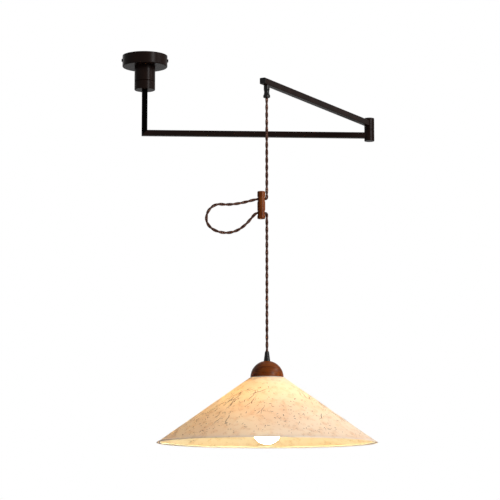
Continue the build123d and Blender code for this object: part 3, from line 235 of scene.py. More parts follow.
@dataclass(frozen=True)
class PlatedMetal(Finish):
    """Plated, drawn or pressed metal: a mirror dulled by fine tool lines and slight tarnish."""

    colour: str
    tarnish: str
    roughness: float = 0.3
    # Tool lines of 0.1 mm are drawn at 0.6 mm so that they show
    line_mm: float = 0.6
    patch_mm: float = 7.0

    def surface(self, tree: bpy.types.NodeTree) -> bpy.types.NodeSocket:
        """Lay rings of fine lines and cloudy tarnish on a metal.

        Args:
            tree: The material's node tree.

        Returns:
            The metal's shader socket.
        """
        place = add_node(tree, "TexCoord").outputs["Object"]
        cloud = add_node(
            tree, "TexNoise", {"Vector": place, "Scale": 1 / (self.patch_mm * MM), "Detail": 5.0}
        ).outputs["Fac"]
        per_metre = WAVE_LENGTH / (self.line_mm * MM)
        lines = add_node(
            tree,
            "TexWave",
            {"Vector": place, "Scale": per_metre, "Distortion": 1.5, "Detail": 2.0},
            {"bands_direction": "Z"},
        ).outputs["Fac"]
        tone = add_node(
            tree,
            "Mix",
            {SHARE: cloud, FROM: linear(self.colour), INTO: linear(self.tarnish)},
            {"data_type": "RGBA"},
        ).outputs[MIXED]
        rough = add_node(
            tree,
            "MapRange",
            {"Value": lines, "To Min": self.roughness - 0.07, "To Max": self.roughness + 0.1},
        ).outputs["Result"]
        return add_node(
            tree, "BsdfPrincipled", {"Base Color": tone, "Roughness": rough, "Metallic": 1.0}
        ).outputs["BSDF"]


@dataclass(frozen=True)
class Moulding(Finish):
    """Moulded plastic, rubber or clay: an even colour, the mould's fine grain and a soft flow mottle."""

    colour: str
    flow: str
    roughness: float = 0.35
    ior: float = 1.5
    gloss: float = 0.5
    # A polished mould leaves a thin bright skin
    skin: float = 0.0
    skin_roughness: float = 0.14
    # Mould grain of 0.2 mm is drawn at 0.7 mm so that it shows
    grain_mm: float = 0.7
    grain_depth_mm: float = 0.01
    flow_mm: float = 12.0

    def surface(self, tree: bpy.types.NodeTree) -> bpy.types.NodeSocket:
        """Mottle the colour a little and roughen the skin with fine grain.

        Args:
            tree: The material's node tree.

        Returns:
            The moulding's shader socket.
        """
        place = add_node(tree, "TexCoord").outputs["Object"]
        mottle = add_node(
            tree, "TexNoise", {"Vector": place, "Scale": 1 / (self.flow_mm * MM), "Detail": 3.0}
        ).outputs["Fac"]
        grain = add_node(
            tree, "TexNoise", {"Vector": place, "Scale": 1 / (self.grain_mm * MM), "Detail": 2.0}
        ).outputs["Fac"]
        tone = add_node(
            tree,
            "Mix",
            {SHARE: mottle, FROM: linear(self.colour), INTO: linear(self.flow)},
            {"data_type": "RGBA"},
        ).outputs[MIXED]
        rough = add_node(
            tree,
            "MapRange",
            {"Value": grain, "To Min": self.roughness - 0.06, "To Max": self.roughness + 0.06},
        ).outputs["Result"]
        grained = add_node(
            tree, "Bump", {"Height": grain, "Strength": 0.5, "Distance": self.grain_depth_mm * MM}
        ).outputs["Normal"]
        return add_node(
            tree,
            "BsdfPrincipled",
            {
                "Base Color": tone,
                "Roughness": rough,
                "Normal": grained,
                "IOR": self.ior,
                "Specular IOR Level": self.gloss,
                "Coat Weight": self.skin,
                "Coat Roughness": self.skin_roughness,
            },
        ).outputs["BSDF"]


@dataclass(frozen=True)
class TurnedWalnut(Finish):
    """Turned walnut, stained and lacquered: red-brown with long pores, soft figure and a satin shine."""

    heart: str
    pale: str
    pore: str
    grain: Grain
    figure_mm: float = 7.0
    # Walnut pores are 0.2 mm wide; they are drawn wider so that they show
    pore_mm: float = 0.8
    pore_depth_mm: float = 0.05
    stretch: float = 9.0
    roughness: float = 0.24
    lacquer: float = 0.2
    lacquer_roughness: float = 0.34

    def surface(self, tree: bpy.types.NodeTree) -> bpy.types.NodeSocket:
        """Stretch a figure and dark pores along the grain under a clear lacquer.

        Args:
            tree: The material's node tree.

        Returns:
            The wood's shader socket.
        """
        place = add_node(tree, "TexCoord").outputs["Object"]
        along = tuple(max(part, 1 / self.stretch) for part in self.grain.value)
        stretched = add_node(tree, "Mapping", {"Vector": place, "Scale": along}).outputs["Vector"]
        figure = add_node(
            tree,
            "TexNoise",
            {"Vector": stretched, "Scale": 1 / (self.figure_mm * MM), "Detail": 4.0, "Distortion": 1.2},
        ).outputs["Fac"]
        pores = add_node(
            tree, "TexNoise", {"Vector": stretched, "Scale": 1 / (self.pore_mm * MM), "Detail": 2.0}
        ).outputs["Fac"]
        band = add_node(
            tree, "MapRange", {"Value": figure, "From Min": 0.32, "From Max": 0.68}
        ).outputs["Result"]
        opened = add_node(
            tree, "MapRange", {"Value": pores, "From Min": 0.6, "From Max": 0.76, "To Max": 0.6}
        ).outputs["Result"]
        wood = add_node(
            tree,
            "Mix",
            {SHARE: band, FROM: linear(self.heart), INTO: linear(self.pale)},
            {"data_type": "RGBA"},
        ).outputs[MIXED]
        tone = add_node(
            tree,
            "Mix",
            {SHARE: opened, FROM: wood, INTO: linear(self.pore)},
            {"data_type": "RGBA"},
        ).outputs[MIXED]
        rough = add_node(
            tree,
            "MapRange",
            {"Value": opened, "To Min": self.roughness, "To Max": self.roughness + 0.2},
        ).outputs["Result"]
        dents = add_node(
            tree,
            "Bump",
            {"Height": opened, "Strength": 0.35, "Distance": self.pore_depth_mm * MM},
            {"invert": True},
        ).outputs["Normal"]
        return add_node(
            tree,
            "BsdfPrincipled",
            {
                "Base Color": tone,
                "Roughness": rough,
                "Normal": dents,
                "IOR": 1.5,
                "Specular IOR Level": 0.0,
                "Coat Weight": self.lacquer,
                "Coat Roughness": self.lacquer_roughness,
            },
        ).outputs["BSDF"]


@dataclass(frozen=True)
class BraidedTextile(Finish):
    """Braided rayon over flex: crossed threads with a silky sheen, and paler flecks that are partly the
    yarn's own tone and partly painted highlights.
    """

    dark: str
    thread: str
    fleck_and_painted_highlight: str
    # Threads of 0.4 mm are drawn at 1.3 mm so that they show
    thread_mm: float = 1.3
    thread_depth_mm: float = 0.15
    strand_mm: float = 9.7
    fleck_mm: float = 2.2

    def surface(self, tree: bpy.types.NodeTree) -> bpy.types.NodeSocket:
        """Cross two sets of slanting threads on the strand's own wrap.

        Args:
            tree: The material's node tree.

        Returns:
            The braid's shader socket.
        """
        wrap = add_node(tree, "TexCoord").outputs["UV"]
        sets = []
        for lean in (1.0, -1.0):
            leaned = add_node(
                tree, "Mapping", {"Vector": wrap, "Scale": (lean * self.strand_mm * MM, 1.0, 1.0)}
            ).outputs["Vector"]
            sets.append(
                add_node(
                    tree,
                    "TexWave",
                    {"Vector": leaned, "Scale": 2 * WAVE_LENGTH / (self.thread_mm * MM)},
                    {"bands_direction": "DIAGONAL"},
                ).outputs["Fac"]
            )
        crossed = add_node(
            tree, "Math", {0: sets[0], 1: sets[1]}, {"operation": "MAXIMUM"}
        ).outputs[0]
        place = add_node(tree, "TexCoord").outputs["Object"]
        spots = add_node(
            tree, "TexNoise", {"Vector": place, "Scale": 1 / (self.fleck_mm * MM), "Detail": 1.0}
        ).outputs["Fac"]
        # Pale flecks: partly the yarn's own tone, partly painted highlights on the strands
        pale = add_node(
            tree, "MapRange", {"Value": spots, "From Min": 0.53, "From Max": 0.68, "To Max": 0.6}
        ).outputs["Result"]
        braid = add_node(
            tree,
            "Mix",
            {SHARE: crossed, FROM: linear(self.dark), INTO: linear(self.thread)},
            {"data_type": "RGBA"},
        ).outputs[MIXED]
        tone = add_node(
            tree,
            "Mix",
            {SHARE: pale, FROM: braid, INTO: linear(self.fleck_and_painted_highlight)},
            {"data_type": "RGBA"},
        ).outputs[MIXED]
        woven = add_node(
            tree,
            "Bump",
            {"Height": crossed, "Strength": 0.7, "Distance": self.thread_depth_mm * MM},
        ).outputs["Normal"]
        return add_node(
            tree,
            "BsdfPrincipled",
            {
                "Base Color": tone,
                "Normal": woven,
                "Roughness": 0.5,
                "IOR": 1.5,
                "Specular IOR Level": 0.08,
                "Sheen Weight": 0.06,
                "Sheen Roughness": 0.4,
                "Sheen Tint": linear(self.fleck_and_painted_highlight),
            },
        ).outputs["BSDF"]


@dataclass(frozen=True)
class FibrePaper(Finish):
    """Handmade fibre paper on a stiff liner: mottled pulp that lets lamplight through."""

    cream: str
    peach: str
    straw: str
    bark: str
    lamplit: str
    through: float = 0.42
    cloud_mm: float = 110.0
    blotch_mm: float = 16.0
    # Pulp fibres of 0.3 mm are drawn at 1.8 mm so that they show
    pulp_mm: float = 1.8
    pulp_depth_mm: float = 0.15
    thread_mm: float = 13.0
    # A thread covers the values this near to the middle of its drifting pattern
    thread_reach: float = 0.012

    def surface(self, tree: bpy.types.NodeTree) -> bpy.types.NodeSocket:
        """Cloud and fleck the flat sheet, then mix light that bounces with light that comes through.

        Args:
            tree: The material's node tree.

        Returns:
            The paper's shader socket.
        """
        sheet = add_node(tree, "TexCoord").outputs["UV"]
        clouds = add_node(
            tree, "TexNoise", {"Vector": sheet, "Scale": 1 / (self.cloud_mm * MM), "Detail": 2.0}
        ).outputs["Fac"]
        blotches = add_node(
            tree, "TexNoise", {"Vector": sheet, "Scale": 1 / (self.blotch_mm * MM), "Detail": 5.0}
        ).outputs["Fac"]
        pulp = add_node(
            tree, "TexNoise", {"Vector": sheet, "Scale": 1 / (self.pulp_mm * MM), "Detail": 3.0}
        ).outputs["Fac"]
        drift = add_node(
            tree,
            "TexNoise",
            {"Vector": sheet, "Scale": 1 / (self.thread_mm * MM), "Detail": 3.0, "Distortion": 1.0},
        ).outputs["Fac"]
        clouded = add_node(
            tree, "MapRange", {"Value": clouds, "From Min": 0.35, "From Max": 0.65}
        ).outputs["Result"]
        blotched = add_node(
            tree, "MapRange", {"Value": blotches, "From Min": 0.48, "From Max": 0.75, "To Max": 0.55}
        ).outputs["Result"]
        crossing = add_node(
            tree, "Math", {0: drift, 1: 0.5, 2: self.thread_reach}, {"operation": "COMPARE"}
        ).outputs[0]
        thread = add_node(
            tree, "Math", {0: crossing, 1: blotched}, {"operation": "MULTIPLY"}
        ).outputs[0]
        ground = add_node(
            tree,
            "Mix",
            {SHARE: clouded, FROM: linear(self.cream), INTO: linear(self.peach)},
            {"data_type": "RGBA"},
        ).outputs[MIXED]
        mottled = add_node(
            tree,
            "Mix",
            {SHARE: blotched, FROM: ground, INTO: linear(self.straw)},
            {"data_type": "RGBA"},
        ).outputs[MIXED]
        tone = add_node(
            tree,
            "Mix",
            {SHARE: thread, FROM: mottled, INTO: linear(self.bark)},
            {"data_type": "RGBA"},
        ).outputs[MIXED]
        warmed = add_node(
            tree,
            "Mix",
            {SHARE: 1.0, FROM: tone, INTO: linear(self.lamplit)},
            {"data_type": "RGBA", "blend_type": "MULTIPLY"},
        ).outputs[MIXED]
        crinkle = add_node(
            tree, "Bump", {"Height": pulp, "Strength": 0.5, "Distance": self.pulp_depth_mm * MM}
        ).outputs["Normal"]
        bounced = add_node(
            tree,
            "BsdfPrincipled",
            {"Base Color": tone, "Normal": crinkle, "Roughness": 0.8, "IOR": 1.45},
        ).outputs["BSDF"]
        passed = add_node(
            tree, "BsdfTranslucent", {"Color": warmed, "Normal": crinkle}
        ).outputs["BSDF"]
        return add_node(tree, "MixShader", {0: self.through, 1: bounced, 2: passed}).outputs[0]


@dataclass(frozen=True)
class BarkFibre(Finish):
    """Scraps of bark in the pulp: matt, dark brown, some of them bleached."""

    dark: str
    bleached: str
    scrap_mm: float = 9.0

    def surface(self, tree: bpy.types.NodeTree) -> bpy.types.NodeSocket:
        """Vary the scraps from dark to bleached over the sheet.

        Args:
            tree: The material's node tree.

        Returns:
            The bark's shader socket.
        """
        place = add_node(tree, "TexCoord").outputs["Object"]
        scraps = add_node(
            tree, "TexNoise", {"Vector": place, "Scale": 1 / (self.scrap_mm * MM), "Detail": 2.0}
        ).outputs["Fac"]
        faded = add_node(
            tree, "MapRange", {"Value": scraps, "From Min": 0.42, "From Max": 0.66}
        ).outputs["Result"]
        tone = add_node(
            tree,
            "Mix",
            {SHARE: faded, FROM: linear(self.dark), INTO: linear(self.bleached)},
            {"data_type": "RGBA"},
        ).outputs[MIXED]
        return add_node(tree, "BsdfPrincipled", {"Base Color": tone, "Roughness": 0.85}).outputs["BSDF"]


@dataclass(frozen=True)
class LitOpalGlass(Finish):
    """Opal glass with the lamp lit: white all over, dimmer towards the neck, with a faint frost."""

    glass: str
    glow: str
    strength: float
    neck_z: float
    bottom_z: float
    neck_share: float = 1 / 3
    frost_mm: float = 1.5
    frost_depth_mm: float = 0.02

    def surface(self, tree: bpy.types.NodeTree) -> bpy.types.NodeSocket:
        """Light the globe, dim the neck and frost the skin.

        Args:
            tree: The material's node tree.

        Returns:
            The glass's shader socket.
        """
        place = add_node(tree, "TexCoord").outputs["Object"]
        height = add_node(tree, "SeparateXYZ", {"Vector": place}).outputs["Z"]
        frost = add_node(
            tree, "TexNoise", {"Vector": place, "Scale": 1 / (self.frost_mm * MM), "Detail": 2.0}
        ).outputs["Fac"]
        strength = add_node(
            tree,
            "MapRange",
            {
                "Value": height,
                "From Min": self.bottom_z,
                "From Max": self.neck_z,
                "To Min": self.strength,
                "To Max": self.strength * self.neck_share,
            },
        ).outputs["Result"]
        frosted = add_node(
            tree, "Bump", {"Height": frost, "Strength": 0.2, "Distance": self.frost_depth_mm * MM}
        ).outputs["Normal"]
        return add_node(
            tree,
            "BsdfPrincipled",
            {
                "Base Color": linear(self.glass),
                "Normal": frosted,
                "Roughness": 0.3,
                "IOR": 1.5,
                "Emission Color": linear(self.glow),
                "Emission Strength": strength,
            },
        ).outputs["BSDF"]


@dataclass(frozen=True)
class PaleFloor(Finish):
    """Pale matt plaster under the light: it takes the shadow, and looks nearly as white as the room."""

    colour: str
    flow: str
    shown: float = 0.74
    flow_mm: float = 400.0

    def surface(self, tree: bpy.types.NodeTree) -> bpy.types.NodeSocket:
        """Mottle the plaster a little, and lift it towards white for the camera, gloss and glass.

        Args:
            tree: The material's node tree.

        Returns:
            The floor's shader socket.
        """
        place = add_node(tree, "TexCoord").outputs["Object"]
        mottle = add_node(
            tree, "TexNoise", {"Vector": place, "Scale": 1 / (self.flow_mm * MM), "Detail": 3.0}
        ).outputs["Fac"]
        tone = add_node(
            tree,
            "Mix",
            {SHARE: mottle, FROM: linear(self.colour), INTO: linear(self.flow)},
            {"data_type": "RGBA"},
        ).outputs[MIXED]
        lift = add_node(
            tree, "MapRange", {"Value": shown_ray(tree), "To Max": self.shown}
        ).outputs["Result"]
        return add_node(
            tree,
            "BsdfPrincipled",
            {
                "Base Color": tone,
                "Roughness": 0.85,
                "Emission Color": WHITE,
                "Emission Strength": lift,
            },
        ).outputs["BSDF"]


# Powder baked on pressed and drawn steel: near black with a brown cast and a soft, wide shine
BLACK_PAINT = PowderCoat("black_powder_coated_steel", "#170b07", "#21120d")
# A darker copy of the same paint on the drawn drop tube, without the brown and nearly without shine: the
# deepest black, which is painted shade
SHADED_TUBE_PAINT = PowderCoat("painted_shade_black_tube", "#020202", "#050404", gloss=0.0, skin=0.02)
# The same paint in off-white, flatter, so that lamplight spreads on it evenly
WHITE_PAINT = PowderCoat("white_powder_coated_steel", "#e6e2da", "#d6d0c4", roughness=0.42, gloss=0.4)
# Barrel-plated zinc: blue-grey, cloudy and half dull
ZINC = PlatedMetal("zinc_plated_steel", "#9aa0a4", "#747a7e", roughness=0.46)
# Brass drawn thin and left bare: warm yellow that browns a little
BRASS = PlatedMetal("drawn_brass", "#c9a24c", "#a17c34", roughness=0.26)
# Aluminium pressed into a screw base: pale grey with a soft shine
ALUMINIUM = PlatedMetal("pressed_aluminium", "#cdcdc9", "#b2b2ad", roughness=0.3)
# Undyed nylon: creamy and waxy
NYLON = Moulding("natural_nylon", "#e4ddcf", "#d5ccb9", roughness=0.45)
# Nylon dyed white for terminals: cleaner and a little brighter
TERMINAL_NYLON = Moulding("white_terminal_nylon", "#e9e7e0", "#d9d5ca", roughness=0.4)
# Nylon from a polished mould: deep black with a narrow bright shine
BLACK_NYLON = Moulding(
    "black_moulded_nylon",
    "#0d0b0a",
    "#151210",
    roughness=0.22,
    gloss=0.01,
    skin=0.26,
    grain_depth_mm=0.002,
)
# Phenolic pressed hot: dark brown-black and glossy
PHENOLIC = Moulding("black_phenolic_moulding", "#16110f", "#221b18", roughness=0.3, ior=1.6, gloss=0.25)
# Soft moulded rubber: dark grey and dull
RUBBER = Moulding("black_rubber", "#171615", "#232120", roughness=0.65)
# Extruded sheath and wire insulation: even colour with a soft shine
SHEATH = Moulding("brown_flex_sheath", "#3a2620", "#4a3129", roughness=0.55)
LIVE_PVC = Moulding("brown_wire_insulation", "#5b3622", "#68402a", roughness=0.42)
NEUTRAL_PVC = Moulding("blue_wire_insulation", "#2a5590", "#33609c", roughness=0.42)
# Porcelain fired without a glaze: warm white and matt
PORCELAIN = Moulding("unglazed_porcelain", "#eee9de", "#e2dbcb", roughness=0.55, ior=1.52)
# Walnut turned, stained and lacquered: red-brown, its lines running down the toggle and across the cap
TOGGLE_WOOD = TurnedWalnut("walnut_grain_upright", "#5e2704", "#964f18", "#2a0d03", Grain.UPRIGHT)
CAP_WOOD = TurnedWalnut("walnut_grain_across", "#562304", "#884614", "#280c03", Grain.ACROSS)
# Brown rayon braided over each wire: dark between the threads, with pale flecks that are partly painted
# highlights
TEXTILE = BraidedTextile("brown_braided_rayon", "#1a0906", "#4a281c", "#c99a84")
BARK_BROWN = "#3d2c20"
# Handmade paper glued to a liner: cream and peach clouds, with straw and bark against the light
PAPER = FibrePaper("fibre_paper_on_liner", "#f9f2e8", "#f5e7d8", "#ebcdaa", BARK_BROWN, "#fff2da")
# Folded double at the hem: paler, because less lamplight comes through
HEM_PAPER = FibrePaper(
    "fibre_paper_folded_hem", "#fdf4ea", "#f8e8da", "#ecd6c0", BARK_BROWN, "#fff4de", through=0.22
)
# The lap has no liner: more lamplight comes through
LAP_PAPER = FibrePaper(
    "fibre_paper_glued_lap", "#f9f2e8", "#f5e7d8", "#ebcdaa", BARK_BROWN, "#fff2da", through=0.6
)
# Bark left in the pulp: dull brown flecks and threads, some of them bleached
BARK = BarkFibre("bark_scraps", BARK_BROWN, "#8b6d52")
# Trowelled plaster: pale grey, faintly mottled and matt
FLOOR_PLASTER = PaleFloor("pale_floor_plaster", "#cfcecc", "#c8c7c4")


def coat(finish: Finish, *nodes: str) -> None:
    """Give CAD pieces a finish.

    Args:
        finish: The finish.
        nodes: The names of the CAD nodes.
    """
    for node in nodes:
        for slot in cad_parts[node].material_slots:
            slot.material = finish.material()
        LOG.info("%s: %s", node, finish.name)


def middle(node: str) -> tuple[float, float]:
    """Return the middle of a CAD node's box along X and along Y."""
    low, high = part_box(node)
    return (low[0] + high[0]) / 2, (low[1] + high[1]) / 2


def show(name: str, data: bpy.types.ID) -> bpy.types.Object:
    """Make an object and link it into the scene.

    Args:
        name: The object's name.
        data: Its mesh, curve, lamp or camera.

    Returns:
        The object.
    """
    shown = bpy.data.objects.new(name, data)
    bpy.context.scene.collection.objects.link(shown)
    return shown


def smooth_curve(name: str, route: list[Vector], fineness: int) -> bpy.types.Curve:
    """Make a smooth line that a route's points control.

    Args:
        name: The curve's name.
        route: The control points in metres.
        fineness: How many points each stretch of the line is drawn with.

    Returns:
        The curve.
    """
    curve = bpy.data.curves.new(name, "CURVE")
    curve.dimensions = "3D"
    curve.resolution_u = fineness
    spline = curve.splines.new("NURBS")
    spline.points.add(len(route) - 1)
    for point, place in zip(spline.points, route):
        point.co = (*place, 1.0)
    spline.order_u = 3
    spline.use_endpoint_u = True
    return curve


@dataclass
class MeshParts:
    """The points, faces and unwrapped corners that one mesh is put together from."""

    points: list[Vector] = field(default_factory=list)
    faces: list[tuple[int, ...]] = field(default_factory=list)
    wraps: list[tuple[float, float]] = field(default_factory=list)

    def add_grid(
        self,
        points: list[Vector],
        across: int,
        ring: bool = False,
        tube: bool = False,
        wrap: Callable[[int, int], tuple[float, float]] | None = None,
    ) -> None:
        """Add rows of points and the four-cornered faces between them.

        Args:
            points: The points, row after row.
            across: How many points each row has.
            ring: Whether the last row joins the first.
            tube: Whether each row's end joins its start.
            wrap: Gives the place of a row's and column's corner on the unwrapped surface.
        """
        first = len(self.points)
        rows = len(points) // across
        self.points += points
        for row in range(rows if ring else rows - 1):
            for column in range(across if tube else across - 1):
                cell = ((row, column), (row, column + 1), (row + 1, column + 1), (row + 1, column))
                self.faces.append(tuple(first + r % rows * across + c % across for r, c in cell))
                if wrap is not None:
                    self.wraps += [wrap(r, c) for r, c in cell]

    def piece(self, name: str, finish: Finish) -> bpy.types.Object:
        """Make a smooth mesh object with one finish.

        Args:
            name: The piece's name.
            finish: The finish.

        Returns:
            The object, linked into the scene.
        """
        mesh = bpy.data.meshes.new(name)
        mesh.from_pydata(self.points, [], self.faces)
        mesh.shade_smooth()
        mesh.materials.append(finish.material())
        if self.wraps:
            layer = mesh.uv_layers.new(name="unwrapped")
            for corner, place in zip(layer.uv, self.wraps):
                corner.vector = place
        LOG.info("%s: %s, %d faces", name, finish.name, len(self.faces))
        return show(name, mesh)


@dataclass
class CeilingMount:
    """The canopy, its bracket, wiring block and the still half of the swivel."""

    lead_diameter: float = 2.0 * MM
    lead_length: float = 32.3 * MM
    lead_spread: float = 1.3 * MM
    lead_start_z: float = -16.4 * MM
    lead_top_z: float = -11.4 * MM
    lead_strip: float = 4.0 * MM
    lead_fineness: int = 16
    terminal_reach: float = 9.0 * MM
    terminal_z: float = -7.1 * MM
    terminal_front: float = 21.0 * MM
    painted: tuple[str, ...] = ("canopy", "canopy_screws", "swivel_housing")
    plated: tuple[str, ...] = (
        "ceiling_bracket",
        "canopy_washer",
        "canopy_nut",
        "swivel_nipple",
        "stop_pin",
        "swivel_spring_washer",
        "swivel_lock_nut",
    )

    def build_lead(self, name: str, side: int, finish: Finish) -> None:
        """Run one insulated wire from the swivel's nipple into its terminal.

        Args:
            name: The wire's name.
            side: 1 or -1 for the terminal on the +X or the -X side.
            finish: The insulation.
        """
        start = side * self.lead_spread
        reach = side * self.terminal_reach
        route = [
            Vector((start, 0.0, self.lead_start_z)),
            Vector((start, 0.0, self.lead_top_z)),
            Vector((reach, self.terminal_front / 2, self.terminal_z)),
            Vector((reach, self.terminal_front + self.lead_strip, self.terminal_z)),
        ]
        curve = smooth_curve(name, route, self.lead_fineness)
        curve.bevel_depth = self.lead_diameter / 2
        curve.use_fill_caps = True
        curve.materials.append(finish.material())
        lead = show(name, curve)
        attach(lead, Body.CEILING.value)
        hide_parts("canopy_leads")
        LOG.info("%s: %s", name, finish.name)

    def dress(self) -> None:
        """Wire the terminals and finish the ceiling pieces."""
        self.build_lead("live_lead", 1, LIVE_PVC)
        self.build_lead("neutral_lead", -1, NEUTRAL_PVC)
        coat(BLACK_PAINT, *self.painted)
        coat(ZINC, *self.plated)
        coat(NYLON, "swivel_friction_washer")
        coat(TERMINAL_NYLON, "terminal_block")


@dataclass
class SwingArms:
    """The two square-tube arms, the elbow between them, the cord's gland and the cable inside."""

    painted: tuple[str, ...] = (
        "swivel_cup",
        "swivel_plate",
        "lower_arm_tube",
        "lower_knuckle",
        "elbow_bottom_plug",
        "upper_knuckle",
        "elbow_top_plug",
        "upper_arm_tube",
    )
    plated: tuple[str, ...] = (
        "elbow_nipple",
        "elbow_jam_nut",
        "elbow_spring_washer",
        "elbow_lock_nut",
        "gland_nut",
    )

    def dress(self) -> None:
        """Finish the arms' pieces."""
        coat(BLACK_PAINT, *self.painted)
        # The drop tube's darker copy of the paint is painted shade
        coat(SHADED_TUBE_PAINT, "drop_tube")
        coat(ZINC, *self.plated)
        coat(NYLON, "elbow_friction_washer")
        coat(BLACK_NYLON, "arm_end_plug", "cord_gland")
        coat(RUBBER, "gland_bush")
        coat(SHEATH, "lower_arm_cable", "upper_arm_cable")


@dataclass
class TwistedCord:
    """One run of the two-strand textile cord, on a smooth line through its route."""

    name: str
    node: str
    route: list[Vector]
    length: float
    bodies: tuple[Body, Body]
    turn_from: Vector
    turn_to: Vector
    lay: str
    fineness: int
    pieces: tuple[str, ...] = ()
    diameter: float = 5.8 * MM
    pitch: float = 31.0 * MM
    strand_radius: float = 2.0 * MM
    strand_offset: float = 1.1 * MM
    sides: int = 12

    def line(self) -> list[Vector]:
        """Read the points of the smooth line that the route controls.

        Returns:
            The points from the exit to the far end.
        """
        curve = smooth_curve(self.name + "_line", self.route, self.fineness)
        holder = bpy.data.objects.new(curve.name, curve)
        mesh = bpy.data.meshes.new_from_object(holder)
        points = [vertex.co.copy() for vertex in mesh.vertices]
        bpy.data.objects.remove(holder)
        bpy.data.curves.remove(curve)
        bpy.data.meshes.remove(mesh)
        return points

    def strand_centres(self, line: list[Vector], turn: float) -> list[tuple[Vector, Vector]]:
        """Wind one strand's middle round the line.

        Args:
            line: The cord's middle line.
            turn: The angle at which the strand starts.

        Returns:
            For each point of the line, the strand's middle and the way that it faces from the line.
        """
        centres = []
        run = 0.0
        side = (line[1] - line[0]).orthogonal().normalized()
        for index, point in enumerate(line):
            before = line[max(index - 1, 0)]
            after = line[min(index + 1, len(line) - 1)]
            ahead = (after - before).normalized()
            run += (point - before).length
            side = (side - ahead * side.dot(ahead)).normalized()
            angle = turn + math.tau * run / self.pitch
            outward = side * math.cos(angle) + ahead.cross(side) * math.sin(angle)
            centres.append((point + outward * self.strand_offset, outward))
        return centres

    def add_strand(self, centres: list[tuple[Vector, Vector]], parts: MeshParts) -> None:
        """Add one strand's tube to the cord's mesh.

        Args:
            centres: The strand's middle points and the way that each faces.
            parts: The cord's mesh, added to.
        """
        points = []
        runs = []
        run = 0.0
        for index, (centre, outward) in enumerate(centres):
            before = centres[max(index - 1, 0)][0]
            after = centres[min(index + 1, len(centres) - 1)][0]
            ahead = (after - before).normalized()
            run += (centre - before).length
            runs.append(run)
            out = (outward - ahead * outward.dot(ahead)).normalized()
            across = ahead.cross(out)
            for side in range(self.sides):
                angle = math.tau * side / self.sides
                spoke = out * math.cos(angle) + across * math.sin(angle)
                points.append(centre + spoke * self.strand_radius)

        def unwound(row: int, side: int) -> tuple[float, float]:
            """Return the share of the way round the strand, and the distance along it."""
            return side / self.sides, runs[row]

        first = len(parts.points)
        parts.add_grid(points, self.sides, tube=True, wrap=unwound)
        last = len(parts.points) - self.sides
        for start, step in ((first, -1), (last, 1)):
            parts.faces.append(tuple(range(start, start + self.sides))[::step])
            parts.wraps += [(0.0, 0.0)] * self.sides

    def build(self) -> None:
        line = self.line()
        parts = MeshParts()
        for turn in (0.0, math.pi):
            self.add_strand(self.strand_centres(line, turn), parts)
        piece = parts.piece(self.name, TEXTILE)
        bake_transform(piece)
        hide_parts(self.node)


